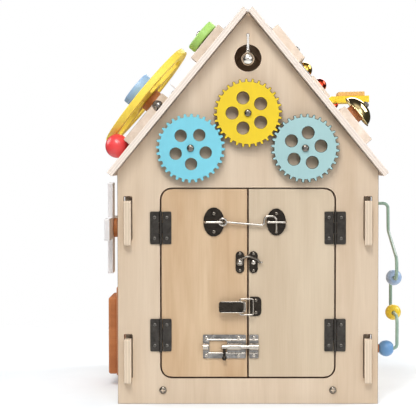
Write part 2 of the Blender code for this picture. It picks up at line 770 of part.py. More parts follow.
def make_roof(gables):
    """Roof panels with their screws, which run into cleats glued inside the gables."""
    front = FRONT - ROOF_OVERHANG
    back = BACK + ROOF_OVERHANG
    through = PIVOT_RADIUS + GAP
    under = -ROOF_PLY - GAP
    for side in (-1, 1):
        lows = (INSIDE_FRONT - SINK, INSIDE_BACK + SINK - CLEAT_SIDE)
        for gable, low in zip(gables, lows):
            outline = rectangle(CLEAT_START, CLEAT_START + CLEAT_LENGTH,
                                *sorted((side * low, side * (low + CLEAT_SIDE))))
            combine(gable, plate("cleat", outline, [], under - CLEAT_SIDE, under, "birch", slope(side)))
    screw = pan_head(ROOF_SCREW_HEAD_RADIUS, ROOF_SCREW_HEAD_HEIGHT, ROOF_SCREW_RADIUS,
                     ROOF_SCREW_LENGTH)
    hole = ROOF_SCREW_RADIUS + GAP
    deep = ROOF_SCREW_LENGTH + GAP
    for side, name in ((-1, "left_roof_panel"), (1, "right_roof_panel")):
        outline = rectangle(0, ROOF_LENGTH, *sorted((side * front, side * back)))
        holes = []
        if side < 0:
            holes.append(circle(through, SMALL_SIDES, (GREEN_DISC_S, -GREEN_DISC_Y)))
            holes.append(circle(through, SMALL_SIDES, (WHEEL_S, -WHEEL_Y)))
            holes.append(circle(BALL_STEM_RADIUS + GAP, ROUND_SIDES, (BALL_S, -BALL_Y)))
        panel = plate(name, outline, holes, -ROOF_PLY, 0, "pale_birch", slope(side))
        for way, s, y in roof_screw_places():
            if way != side:
                continue
            place = on_slope(side, s, y)
            gable = gables[0] if y < HOUSE_DEPTH / 2 else gables[1]
            cut(gable, turned("drill", [(0, -deep), (hole, -deep), (hole, 0), (0, 0)], SMALL_SIDES,
                              matrix=place))
            combine(panel, turned("screw", screw, SMALL_SIDES, "steel", place))


def small_screw(x, y, z, height=SMALL_HEAD_HEIGHT):
    """Head of a small screw, its seat sunk a little into the plate that it holds."""
    radius = SMALL_HEAD_RADIUS
    profile = [(0, -SINK), (radius, -SINK), (radius, height / 2), (radius / 2, height), (0, height)]
    return turned("screw", profile, SMALL_SIDES, "steel", forward(x, y, z))


def flat_screw(x, z):
    """Low-headed screw on a latch plate."""
    return small_screw(x, PLATE_FRONT, z, FLAT_HEAD_HEIGHT)


def knuckle_spans():
    """Three knuckles in a leaf's height: the frame leaf has the outer two."""
    step = LEAF_HEIGHT / KNUCKLES
    low = -LEAF_HEIGHT / 2
    return [(low + i * step + GAP / 2, low + (i + 1) * step - GAP / 2) for i in range(KNUCKLES)]


def hinge_leaf(name, way, pin_x, height, owned):
    """Half a butt hinge: a plate notched round the other half's knuckles, with its own rolled on.

    way is +1 where the leaf lies to the right of the pin, and owned lists its knuckles.
    """
    clear = KNUCKLE_RADIUS + KNUCKLE_LIFT + GAP
    root = KNUCKLE_RADIUS / 3
    last = KNUCKLES - 1
    low, high = -LEAF_HEIGHT / 2, LEAF_HEIGHT / 2
    edge = []
    for i, (start, end) in enumerate(knuckle_spans()):
        reach = root if i in owned else clear
        start = low if i == 0 else (start if i in owned else start - GAP)
        end = high if i == last else (end if i in owned else end + GAP)
        edge += [(reach, start), (reach, end)]
    far, ease = LEAF_REACH, LEAF_CORNER
    outline = edge + [(far - ease, high), (far, high - ease), (far, low + ease), (far - ease, low)]
    if way < 0:
        outline = [(-x, z) for x, z in outline][::-1]
    leaf = plate(name, outline, [], 0, LEAF_THICKNESS, "black_metal",
                 basis((pin_x, FRONT - GAP, height), (1, 0, 0), (0, 0, 1)))
    axis = Matrix.Translation((pin_x, HINGE_PIN_Y, height))
    bore = PIN_RADIUS + RUNNING_GAP
    wall = (bore + KNUCKLE_RADIUS) / 2
    for i in owned:
        start, end = knuckle_spans()[i]
        cut(leaf, turned("bore", [(0, start - GAP), (wall, start - GAP), (wall, end + GAP),
                                  (0, end + GAP)], SMALL_SIDES, matrix=axis))
        inner = 0 if len(owned) > 1 else bore
        combine(leaf, turned("barrel", [(inner, start), (KNUCKLE_RADIUS, start),
                                        (KNUCKLE_RADIUS, end), (inner, end)], SMALL_SIDES,
                             "black_metal", axis))
    front = FRONT - GAP - LEAF_THICKNESS
    for z in (-1, 1):
        combine(leaf, small_screw(pin_x + way * HINGE_SCREW_REACH, front,
                                  height + z * HINGE_SCREW_SPREAD))
    return leaf


def make_hinges():
    """Four butt hinges; each pin is fixed in the frame leaf's outer knuckles."""
    door_leaves = {-1: [], 1: []}
    for side, flank in ((-1, "left"), (1, "right")):
        pin_x = side * DOOR_HINGE_X
        for height, level in ((LOWER_HINGE_HEIGHT, "lower"), (UPPER_HINGE_HEIGHT, "upper")):
            name = flank + "_" + level
            leaf = hinge_leaf(name + "_frame_leaf", side, pin_x, height, (0, 2))
            half = LEAF_HEIGHT / 2
            cap = KNUCKLE_RADIUS * PIN_CAP_SHARE
            profile = [(0, -half - cap), (cap, -half - cap / 2), (cap, -half + cap),
                       (PIN_RADIUS, -half + cap), (PIN_RADIUS, half - cap), (cap, half - cap),
                       (cap, half + cap / 2), (0, half + cap)]
            pin = turned("pin", profile, SMALL_SIDES, "black_metal",
                         Matrix.Translation((pin_x, HINGE_PIN_Y, height)))
            fuse(leaf, [pin])
            leaf = hinge_leaf(name + "_door_leaf", -side, pin_x, height, (1,))
            round_shading(leaf)
            door_leaves[side].append(leaf)
    return door_leaves


def door_outline(side):
    """A door leaf: square at the split, rounded at the doorway's corners."""
    outer = DOORWAY_WIDTH / 2 - DOOR_GAP
    low = DOORWAY_SILL + DOOR_GAP
    high = DOORWAY_SILL + DOORWAY_HEIGHT - DOOR_GAP
    radius = DOORWAY_CORNER - DOOR_GAP
    points = [(DOOR_GAP / 2, low)]
    for z, start in ((low + radius, -90), (high - radius, 0)):
        for i in range(6):
            angle = math.radians(start + 18 * i)
            points.append((outer - radius + radius * math.cos(angle), z + radius * math.sin(angle)))
    points.append((DOOR_GAP / 2, high))
    return [(side * x, z) for x, z in points]


def ellipse(width, height, centre, sides=ROUND_SIDES):
    return [(centre[0] + width / 2 * math.cos(2 * math.pi * i / sides),
             centre[1] + height / 2 * math.sin(2 * math.pi * i / sides)) for i in range(sides)]


def staple(x, half, height):
    """A square loop of wire that stands out of a plate, lying level."""
    out = PLATE_FRONT - STAPLE_STANDOFF + STAPLE_WIRE
    root = PLATE_FRONT + LATCH_PLATE / 2
    corners = [(x - half, root, height), (x - half, out, height), (x + half, out, height),
               (x + half, root, height)]
    return tube("staple", bent_path(corners, STAPLE_BEND, BEND_STEPS), STAPLE_WIRE, "black_metal")


def latch_plate(name, outline, screws, holes=(), finish="black_metal"):
    """A sheet-metal plate on a door, with its screws at the given places."""
    made = plate(name, outline, holes, 0, LATCH_PLATE, finish, upright(FRONT - GAP))
    for x, z in screws:
        combine(made, flat_screw(x, z))
    return made


def make_cabin_latch():
    """Cabin hook: an eye round the left staple's inner leg, and a hooked end behind the right staple."""
    plates = {}
    for side, name, x, width, high, half in (
            (-1, "cabin_hook_plate", CABIN_PLATE_X, CABIN_PLATE_WIDTH, CABIN_PLATE_HEIGHT,
             CABIN_STAPLE_HALF),
            (1, "cabin_keeper_plate", KEEPER_PLATE_X, KEEPER_PLATE_WIDTH, KEEPER_PLATE_HEIGHT,
             KEEPER_STAPLE_HALF)):
        screws = [(x, CABIN_HEIGHT + CABIN_SCREW_RISE), (x, CABIN_HEIGHT - CABIN_SCREW_DROP)]
        made = latch_plate(name, ellipse(width, high, (x, CABIN_HEIGHT)), screws)
        plates[side] = fuse(made, [staple(x, half, CABIN_HEIGHT)])
    pivot_x = CABIN_PLATE_X + CABIN_STAPLE_HALF
    plane = (PLATE_FRONT + PLATE_FRONT - STAPLE_STANDOFF + 2 * STAPLE_WIRE) / 2
    tip_x = KEEPER_PLATE_X
    low = CABIN_HEIGHT - HOOK_DROP
    corners = [(pivot_x + HOOK_EYE_RADIUS, plane, CABIN_HEIGHT), (HOOK_RISER_X, plane, low),
               (HOOK_RISER_X, plane, CABIN_HEIGHT + HOOK_ARCH_RISE),
               (tip_x, plane, CABIN_HEIGHT + HOOK_ARCH_RISE),
               (tip_x, plane, CABIN_HEIGHT - HOOK_TIP_DROP)]
    rod = tube("cabin_hook", bent_path(corners, HOOK_BEND, BEND_STEPS), HOOK_WIRE, "steel")
    eye_points = [(pivot_x + x, plane, CABIN_HEIGHT + z) for x, z in circle(HOOK_EYE_RADIUS, WIRE_SIDES)]
    eye = tube("eye", eye_points, HOOK_EYE_WIRE, "steel", closed=True)
    hook = combine(rod, eye)
    round_shading(hook, 50)
    carry(hinge_empty("cabin_hook_pivot", (pivot_x, plane, CABIN_HEIGHT)), [hook])
    return plates


def capsule(x, z, width, height):
    radius = width / 2
    rise = height / 2 - radius
    top = [(x + dx, z + rise + dz) for dx, dz in circle_arc(radius, 0, 180, SMALL_SIDES)]
    return top + [(x + dx, z - rise + dz) for dx, dz in circle_arc(radius, 180, 360, SMALL_SIDES)]


def make_small_latch():
    """Small arched hook on a stud, hooked over a second stud."""
    plates = {}
    for side, name, x in ((-1, "small_hook_plate", SMALL_LEFT_X), (1, "small_catch_plate", SMALL_RIGHT_X)):
        screws = [(x, SMALL_HEIGHT + SMALL_SCREW_SPREAD), (x, SMALL_HEIGHT - SMALL_SCREW_SPREAD)]
        made = latch_plate(name, capsule(x, SMALL_HEIGHT, SMALL_PLATE_WIDTH, SMALL_PLATE_HEIGHT), screws)
        root = -LATCH_PLATE / 2
        stud = turned("stud", [(0, root), (STUD_RADIUS, root), (STUD_RADIUS, STUD_LENGTH),
                               (STUD_HEAD_RADIUS, STUD_LENGTH),
                               (STUD_HEAD_RADIUS, STUD_LENGTH + STUD_HEAD_HEIGHT),
                               (0, STUD_LENGTH + STUD_HEAD_HEIGHT)], SMALL_SIDES, "steel",
                      forward(x, PLATE_FRONT, SMALL_HEIGHT))
        plates[side] = fuse(made, [stud])
    plane = PLATE_FRONT - STUD_LENGTH / 2
    arch_z = SMALL_HEIGHT + SMALL_ARCH_RISE
    end_x = SMALL_RIGHT_X + STUD_HEAD_RADIUS + 2 * SMALL_WIRE
    corners = [(SMALL_LEFT_X, plane, SMALL_HEIGHT + SMALL_EYE_RADIUS), (0, plane, arch_z),
               (end_x, plane, SMALL_HEIGHT + SMALL_EYE_RADIUS), (end_x + SMALL_WIRE, plane, SMALL_HEIGHT),
               (end_x + SMALL_TIP_REACH, plane, SMALL_HEIGHT)]
    bends = [SMALL_ARCH_RISE, SMALL_WIRE * 2, SMALL_WIRE * 2]
    arm = tube("small_hook", bent_path(corners, bends, BEND_STEPS), SMALL_WIRE, "steel")
    eye_circle = circle(SMALL_EYE_RADIUS, WIRE_SIDES)
    eye_points = [(SMALL_LEFT_X + x, plane, SMALL_HEIGHT + z) for x, z in eye_circle]
    hook = combine(arm, tube("eye", eye_points, SMALL_WIRE, "steel", closed=True))
    round_shading(hook, 50)
    carry(hinge_empty("small_hook_pivot", (SMALL_LEFT_X, plane, SMALL_HEIGHT)), [hook])
    return plates


def make_toggle():
    """Toggle latch: channel lever on a pin, a wire bail drawn round the strike's lip."""
    z = TOGGLE_HEIGHT
    pin_y = PLATE_FRONT - TOGGLE_PIN_STANDOFF
    right = TOGGLE_PIN_X + EAR_HALF_WIDTH
    base = latch_plate("toggle_base", rectangle(right - BASE_LENGTH, right, z - EAR_HALF_SPAN,
                                                z + EAR_HALF_SPAN, LEAF_CORNER, 2), [])
    level = basis((0, 0, z), (1, 0, 0), (0, 1, 0))
    for way in (-1, 1):
        inner, outer = sorted((way * (EAR_HALF_SPAN - TOGGLE_SHEET), way * EAR_HALF_SPAN))
        ear = rectangle(TOGGLE_PIN_X - EAR_HALF_WIDTH, TOGGLE_PIN_X + EAR_HALF_WIDTH,
                        pin_y - TOGGLE_PIN_RADIUS * 2, PLATE_FRONT + LATCH_PLATE / 2)
        combine(base, plate("ear", ear, [], inner, outer, "steel", level))
    reach = LEVER_HALF_WIDTH + TOGGLE_SHEET / 2
    pin = turned("pin", [(0, -reach), (TOGGLE_PIN_RADIUS, -reach), (TOGGLE_PIN_RADIUS, reach),
                         (0, reach)], SMALL_SIDES, "steel",
                 Matrix.Translation((TOGGLE_PIN_X, pin_y, z)))
    fuse(base, [pin])
    top = pin_y - LEVER_TOP_STANDOFF
    left = TOGGLE_PIN_X - LEVER_LENGTH
    heel = TOGGLE_PIN_X - LEVER_HEEL
    half = LEVER_HALF_WIDTH
    lever = plate("toggle_lever", rectangle(left, heel, -half, half, LEVER_TOE, 3), [], 0,
                  TOGGLE_SHEET, "black_metal", basis((0, top, z), (1, 0, 0), (0, 0, 1)))
    bail_x = TOGGLE_PIN_X - BAIL_PIVOT_BACK
    skirt_low = top - TOGGLE_SHEET / 2
    skirt_high = skirt_low + LEVER_SKIRT
    skirt_end = TOGGLE_PIN_X + TOGGLE_PIN_RADIUS * 2
    holes = [circle(TOGGLE_PIN_RADIUS + GAP, SMALL_SIDES, (TOGGLE_PIN_X, pin_y)),
             circle(BAIL_WIRE + GAP, SMALL_SIDES, (bail_x, pin_y))]
    toe = left + LEVER_TOE
    skirt = [(toe, skirt_low), (heel, skirt_low), (skirt_end, top + LEVER_TOP_STANDOFF / 2),
             (skirt_end, skirt_high), (bail_x - LEVER_TOE, skirt_high), (toe, skirt_low + LEVER_SKIRT / 3)]
    for way in (-1, 1):
        low, high = sorted((way * (half - TOGGLE_SHEET), way * half))
        combine(lever, plate("skirt", skirt, holes, low, high, "black_metal", level))
    bar = BAIL_BAR_X
    wide = BAIL_HALF_WIDTH
    tuck = EAR_HALF_SPAN + GAP
    corners = [(bail_x, pin_y, z + tuck), (bail_x, pin_y, z + wide), (bar, pin_y, z + wide),
               (bar, pin_y, z - wide), (bail_x, pin_y, z - wide), (bail_x, pin_y, z - tuck)]
    bail = tube("toggle_bail", bent_path(corners, BAIL_BEND, BEND_STEPS), BAIL_WIRE, "steel")
    strike_outline = rectangle(STRIKE_LEFT_X, STRIKE_RIGHT_X, z - STRIKE_HALF_HEIGHT,
                               z + STRIKE_HALF_HEIGHT, LEAF_CORNER * 2, 3)
    strike = latch_plate("toggle_strike", strike_outline,
                         [(STRIKE_SCREW_X, z + STRIKE_SCREW_SPREAD),
                          (STRIKE_SCREW_X, z - STRIKE_SCREW_SPREAD)])
    lip = plate("lip", rectangle(STRIKE_LIP_X, STRIKE_LIP_X + LATCH_PLATE, -STRIKE_LIP_HALF,
                                 STRIKE_LIP_HALF), [], -LATCH_PLATE / 2, STRIKE_LIP_HEIGHT, "black_metal",
                forward(0, PLATE_FRONT, z))
    fuse(strike, [lip])
    carry(hinge_empty("toggle_lever_pivot", (TOGGLE_PIN_X, pin_y, z)), [lever])
    carry(hinge_empty("toggle_bail_pivot", (bail_x, pin_y, z)), [bail])
    return base, strike


def tunnel(left, right):
    """Pressed half-round housing over the bolt's rod, running down to the plate."""
    inner = BOLT_ROD_RADIUS + RUNNING_GAP
    outer = inner + TUNNEL_WALL
    axis_out = GAP + BOLT_ROD_RADIUS
    foot = -LATCH_PLATE / 2
    arch, hollow = [[(x, axis_out + y) for x, y in circle_arc(radius, 0, 180, DOME_STEPS)]
                    for radius in (outer, inner)]
    outline = [(outer, foot)] + arch + [(-outer, foot), (-inner, foot)] + hollow[::-1] + [(inner, foot)]
    place = basis((left, PLATE_FRONT, BOLT_HEIGHT), (0, 0, 1), (0, -1, 0))
    span = right - left
    return plate("tunnel", outline, [], 0, span, "steel", place)


def make_barrel_bolt():
    """Barrel bolt: the rod slides in the plate's tunnels and into the keeper."""
    z = BOLT_HEIGHT
    spread = (z + BOLT_SCREW_SPREAD, z - BOLT_SCREW_SPREAD)
    half = BOLT_PLATE_HALF
    screws = [(x, h) for x in (BOLT_SCREW_LEFT_X, BOLT_SCREW_RIGHT_X) for h in spread]
    window = rectangle(BOLT_WINDOW_LEFT_X, BOLT_WINDOW_RIGHT_X, z - BOLT_WINDOW_HALF,
                       z + BOLT_WINDOW_HALF, LEAF_CORNER, 2)
    outline = rectangle(BOLT_PLATE_LEFT_X, BOLT_PLATE_RIGHT_X, z - half, z + half, LEAF_CORNER, 2)
    base = latch_plate("bolt_plate", outline, screws, [window], "steel")
    combine(base, tunnel(BOLT_PLATE_LEFT_X, BOLT_PLATE_LEFT_X + TUNNEL_SHORT))
    fuse(base, [tunnel(TUNNEL_LONG_RIGHT_X - TUNNEL_LONG, TUNNEL_LONG_RIGHT_X)])
    outline = rectangle(BOLT_KEEPER_LEFT_X, BOLT_KEEPER_RIGHT_X, z - half, z + half, LEAF_CORNER, 2)
    keeper = latch_plate("bolt_keeper", outline, [(BOLT_KEEPER_SCREW_X, h) for h in spread],
                         finish="steel")
    fuse(keeper, [tunnel(BOLT_KEEPER_LEFT_X, BOLT_KEEPER_RIGHT_X)])
    axis_y = PLATE_FRONT - GAP - BOLT_ROD_RADIUS
    ease = EDGE_ROUND
    rod_length = BOLT_ROD_RIGHT_X - BOLT_ROD_LEFT_X
    radius = BOLT_ROD_RADIUS
    rod = turned("bolt_rod", [(0, 0), (radius - ease, 0), (radius, ease), (radius, rod_length - ease),
                              (radius - ease, rod_length), (0, rod_length)], MEDIUM_SIDES, "steel",
                 basis((BOLT_ROD_LEFT_X, axis_y, z), (0, 1, 0), (0, 0, 1)))
    ball = KNOB_RADIUS
    stem = [(0, 0), (KNOB_STEM_RADIUS, 0), (KNOB_STEM_RADIUS, -KNOB_DROP + ball)]
    for i in range(1, DOME_STEPS):
        angle = math.pi / 2 - math.pi * i / DOME_STEPS
        stem.append((ball * math.cos(angle), -KNOB_DROP + ball * math.sin(angle)))
    stem.append((0, -KNOB_DROP - ball))
    combine(rod, turned("knob", stem, SMALL_SIDES, "steel", Matrix.Translation((KNOB_X, axis_y, z))))
    round_shading(rod, 40)
    carry(hinge_empty("bolt_rod_slide", (BOLT_ROD_LEFT_X, axis_y, z)), [rod])
    return base, keeper


def make_doors():
    leaves = make_hinges()
    cabin = make_cabin_latch()
    small = make_small_latch()
    base, strike = make_toggle()
    bolt_base, keeper = make_barrel_bolt()
    fixed = {-1: [base, bolt_base], 1: [strike, keeper]}
    for side, name, finish in ((-1, "left_door", "warm_birch"), (1, "right_door", "pale_birch")):
        panel = plate(name + "_panel", door_outline(side), [], -PLY / 2, PLY / 2, finish, upright(0))
        pivot = hinge_empty(name + "_pivot", (side * DOOR_HINGE_X, HINGE_PIN_Y, 0))
        carry(pivot, [panel, cabin[side], small[side]] + leaves[side] + fixed[side])


def gear_outline(phase):
    """Straight-sided teeth: each has a foot, two tip corners and a foot."""
    pitch_radius = GEAR_DISTANCE / 2
    tip, root = pitch_radius + GEAR_ADDENDUM, pitch_radius - GEAR_DEDENDUM
    points = []
    for tooth in range(GEAR_TEETH):
        middle = phase + 2 * math.pi * tooth / GEAR_TEETH
        for radius, half in ((root, -GEAR_ROOT_HALF), (tip, -GEAR_TIP_HALF), (tip, GEAR_TIP_HALF),
                             (root, GEAR_ROOT_HALF)):
            angle = middle + half / radius
            points.append((radius * math.cos(angle), radius * math.sin(angle)))
    return points


def make_gears():
    """Three equal gears: the outer two mesh with the yellow one."""
    pitch = 2 * math.pi / GEAR_TEETH
    lead_phase = pitch / 4
    places = gear_places()
    lead = places["yellow_gear"]
    rear = FRONT - GEAR_STANDOFF
    for name, (x, z) in places.items():
        phase = lead_phase
        if name != "yellow_gear":
            bearing = math.atan2(z - lead[1], x - lead[0])
            phase = bearing + math.pi + (bearing - lead_phase) + pitch / 2
        holes = [circle(GEAR_BORE, SMALL_SIDES)]
        for i in range(GEAR_HOLES):
            angle = math.radians(GEAR_HOLE_TURNS[name]) + 2 * math.pi * i / GEAR_HOLES
            centre = (GEAR_HOLE_CIRCLE * math.cos(angle), GEAR_HOLE_CIRCLE * math.sin(angle))
            holes.append(circle(GEAR_HOLE_RADIUS, WIRE_SIDES, centre))
        plate(name, gear_outline(phase), holes, 0, GEAR_THICKNESS, GEAR_FINISHES[name],
              forward(x, rear, z))
        seat = rear - GEAR_THICKNESS - GAP
        bolt = pivot_bolt(name + "_bolt", INSIDE_FRONT + GAP - seat, forward(x, seat, z))
        collar = turned("collar", [(0, GAP), (SPACER_RADIUS, GAP), (SPACER_RADIUS, GEAR_STANDOFF - GAP),
                                   (0, GEAR_STANDOFF - GAP)], MEDIUM_SIDES, "steel", forward(x, FRONT, z))
        fuse(bolt, [collar])


def make_hanging_bell():
    """Hollow crotal bell that swings on a cord; the cord's fixed end is knotted behind the gable."""
    centre_y = FRONT - BELL_STANDOFF
    centre_z = BELL_HOLE_HEIGHT - BELL_DROP
    outer, inner = BELL_RADIUS, BELL_RADIUS - BELL_WALL
    profile = [(0, -outer)]
    angles = [-math.pi / 2 + math.pi * i / DOME_STEPS for i in range(1, DOME_STEPS)]
    profile += [(outer * math.cos(a), outer * math.sin(a)) for a in angles] + [(0, outer)]
    shell = turned("hanging_bell", profile, MEDIUM_SIDES, "steel",
                   Matrix.Translation((0, centre_y, centre_z)))
    profile = [(0, -inner)] + [(inner * math.cos(a), inner * math.sin(a)) for a in angles] + [(0, inner)]
    cut(shell, turned("hollow", profile, MEDIUM_SIDES, matrix=Matrix.Translation((0, centre_y, centre_z))))
    half = BELL_SLOT_LENGTH / 2
    slot = plate("slot", rectangle(-half, half, -BELL_SLOT / 2, BELL_SLOT / 2), [], -outer - OVERRUN,
                 -inner / 2, matrix=Matrix.Translation((0, centre_y, centre_z)))
    cut(shell, slot)
    loop_z = centre_z + outer + BELL_LOOP_RADIUS - BELL_LOOP_WIRE
    loop = [(x, centre_y, loop_z + z) for x, z in circle(BELL_LOOP_RADIUS, WIRE_SIDES)]
    combine(shell, tube("loop", loop, BELL_LOOP_WIRE, "steel", closed=True, resolution=1))
    round_shading(shell, 50)
    foot = loop_z + BELL_LOOP_RADIUS + BELL_LOOP_WIRE + GAP
    hang = FRONT - GAP - CORD_RADIUS
    cord = turned("bell_cord", [(0, foot), (CORD_RADIUS, foot), (CORD_RADIUS, CORD_HOLE_HEIGHT),
                                (0, CORD_HOLE_HEIGHT)], WIRE_SIDES, "cord",
                  Matrix.Translation((0, hang, 0)))
    carry(hinge_empty("bell_pivot", (0, hang, CORD_HOLE_HEIGHT)), [shell, cord])


def make_left_wall():
    """Windmill on a spacer, and a brown block on its board."""
    wall = -SIDE_OUTSIDE
    reach, half = WINDMILL_REACH, WINDMILL_ARM / 2
    arm = [(half, half), (half, reach - WINDMILL_CORNER), (half - WINDMILL_CORNER, reach),
           (-half + WINDMILL_CORNER, reach), (-half, reach - WINDMILL_CORNER)]
    outline = []
    for quarter in range(4):
        turn = quarter * math.pi / 2
        outline += [(x * math.cos(turn) - y * math.sin(turn), x * math.sin(turn) + y * math.cos(turn))
                    for x, y in arm]
    axle = basis((wall, WINDMILL_Y, WINDMILL_HEIGHT), (0, -1, 0), (0, 0, 1))
    low = WINDMILL_STANDOFF
    high = WINDMILL_STANDOFF + WINDMILL_THICKNESS
    plate("windmill_sails", outline, [circle(PIVOT_HOLE, SMALL_SIDES)], low, high,
          "white_paint", axle)
    spacer = ring_disc("spacer", WINDMILL_SPACER_RADIUS, PIVOT_RADIUS + GAP, -SINK, low - GAP, axle,
                       "brown_wood")
    seat = basis((wall - high - GAP, WINDMILL_Y, WINDMILL_HEIGHT), (0, -1, 0), (0, 0, 1))
    pivot_bolt("windmill_bolt", high + GAP + PLY + GAP, seat)
    outward = basis((wall, 0, 0), (0, -1, 0), (0, 0, 1))
    board_back = -WALL_BOARD_FRONT_Y - WALL_BOARD_LENGTH
    board_top = WALL_BOARD_FOOT + WALL_BOARD_HEIGHT
    thick = WALL_BOARD_THICKNESS
    board = plate("wall_block", rectangle(board_back, -WALL_BOARD_FRONT_Y, WALL_BOARD_FOOT, board_top,
                                  EDGE_ROUND, 1), [], GAP, thick, "brown_wood", outward)
    top = WALL_BOARD_FOOT + WALL_BLOCK_HEIGHT
    ease = WALL_BLOCK_ROUND
    out = thick + WALL_BLOCK_THICKNESS
    profile = [(thick - SINK, WALL_BOARD_FOOT), (out - ease, WALL_BOARD_FOOT),
               (out - ease * CORNER_CUT, WALL_BOARD_FOOT + ease * CORNER_CUT), (out, WALL_BOARD_FOOT + ease),
               (out, top - ease), (out - ease * CORNER_CUT, top - ease * CORNER_CUT), (out - ease, top),
               (thick - SINK, top)]
    block = plate("block", [(-x, z) for x, z in profile], [], 0, WALL_BLOCK_LENGTH, "brown_wood",
                  basis((wall, WALL_BLOCK_FRONT_Y + WALL_BLOCK_LENGTH, 0), (1, 0, 0), (0, 0, 1)))
    fuse(board, [block])
    return spacer


def bead(name, place, finish):
    """Round wooden bead with flattened, bored ends; the bore is local z."""
    half, bore = BEAD_HALF_LENGTH, BEAD_BORE
    limit = math.degrees(math.asin(half / BEAD_RADIUS))
    profile = [(bore, -half)] + circle_arc(BEAD_RADIUS, -limit, limit, DOME_STEPS) + [(bore, half)]
    return turned(name, profile, MEDIUM_SIDES, finish, place, SMOOTH_DEG)


def make_right_wall():
    """Bent wire with three beads, its foot in a dowel."""
    wall = SIDE_OUTSIDE
    x = wall + WIRE_OFFSET
    start = wall - WIRE_SOCKET_DEPTH
    corners = [(start, WIRE_TOP_Y, WIRE_TOP_HEIGHT), (x, WIRE_TOP_Y, WIRE_TOP_HEIGHT),
               (x, WIRE_KNEE_Y, WIRE_KNEE_HEIGHT), (x, WIRE_FRONT_Y, WIRE_FRONT_HEIGHT),
               (x, WIRE_FRONT_Y, WIRE_RUN_ONE_HEIGHT), (x, WIRE_BACK_Y, WIRE_RUN_ONE_HEIGHT),
               (x, WIRE_BACK_Y, WIRE_RUN_TWO_HEIGHT), (x, WIRE_FOOT_Y, WIRE_RUN_TWO_HEIGHT),
               (x, WIRE_FOOT_Y, WIRE_FOOT_HEIGHT), (start, WIRE_FOOT_Y, WIRE_FOOT_HEIGHT)]
    bends = [WIRE_TOP_BEND, WIRE_BEND, WIRE_BEND, WIRE_WIDE_BEND, WIRE_BEND, WIRE_BEND, WIRE_BEND,
             WIRE_TIGHT_BEND]
    tube("bead_wire", bent_path(corners, bends, BEND_STEPS), WIRE_RADIUS, "wire_paint", resolution=2)
    dowel = ring_disc("dowel", DOWEL_RADIUS, WIRE_RADIUS + GAP, -SINK, DOWEL_LENGTH,
                      basis((wall, WIRE_FOOT_Y, WIRE_FOOT_HEIGHT), (0, 1, 0), (0, 0, 1)),
                      "brown_wood", MEDIUM_SIDES)
    along_y = [basis((x, y, z), (-1, 0, 0), (0, 0, 1)) for y, z in
               ((UPPER_BEAD_Y, WIRE_RUN_ONE_HEIGHT), (LOWER_BEAD_Y, WIRE_RUN_TWO_HEIGHT))]
    bead("upper_bead", along_y[0], "blue_paint")
    bead("lower_bead", along_y[1], "yellow_paint")
    foot_x = wall + DOWEL_LENGTH + GAP + BEAD_HALF_LENGTH
    bead("foot_bead", basis((foot_x, WIRE_FOOT_Y, WIRE_FOOT_HEIGHT), (0, 1, 0), (0, 0, 1)), "blue_paint")
    return dowel


def roof_board(name, side, start, end, low_y, length, thickness, holes=(), finish="birch", base=GAP):
    """A board on a slope; holes are given as (s, y, radius)."""
    ys = sorted((side * low_y, side * (low_y + length)))
    loops = [circle(radius, SMALL_SIDES, (s, side * y)) for s, y, radius in holes]
    return plate(name, rectangle(start, end, *ys, EDGE_ROUND, 1), loops, base, base + thickness, finish,
                 slope(side))


def dome_profile(radius, height, steps=DOME_STEPS):
    profile = [(0, 0), (radius, 0)]
    for i in range(1, steps):
        angle = math.pi / 2 * i / steps
        profile.append((radius * math.cos(angle), height * math.sin(angle)))
    profile.append((0, height))
    return profile


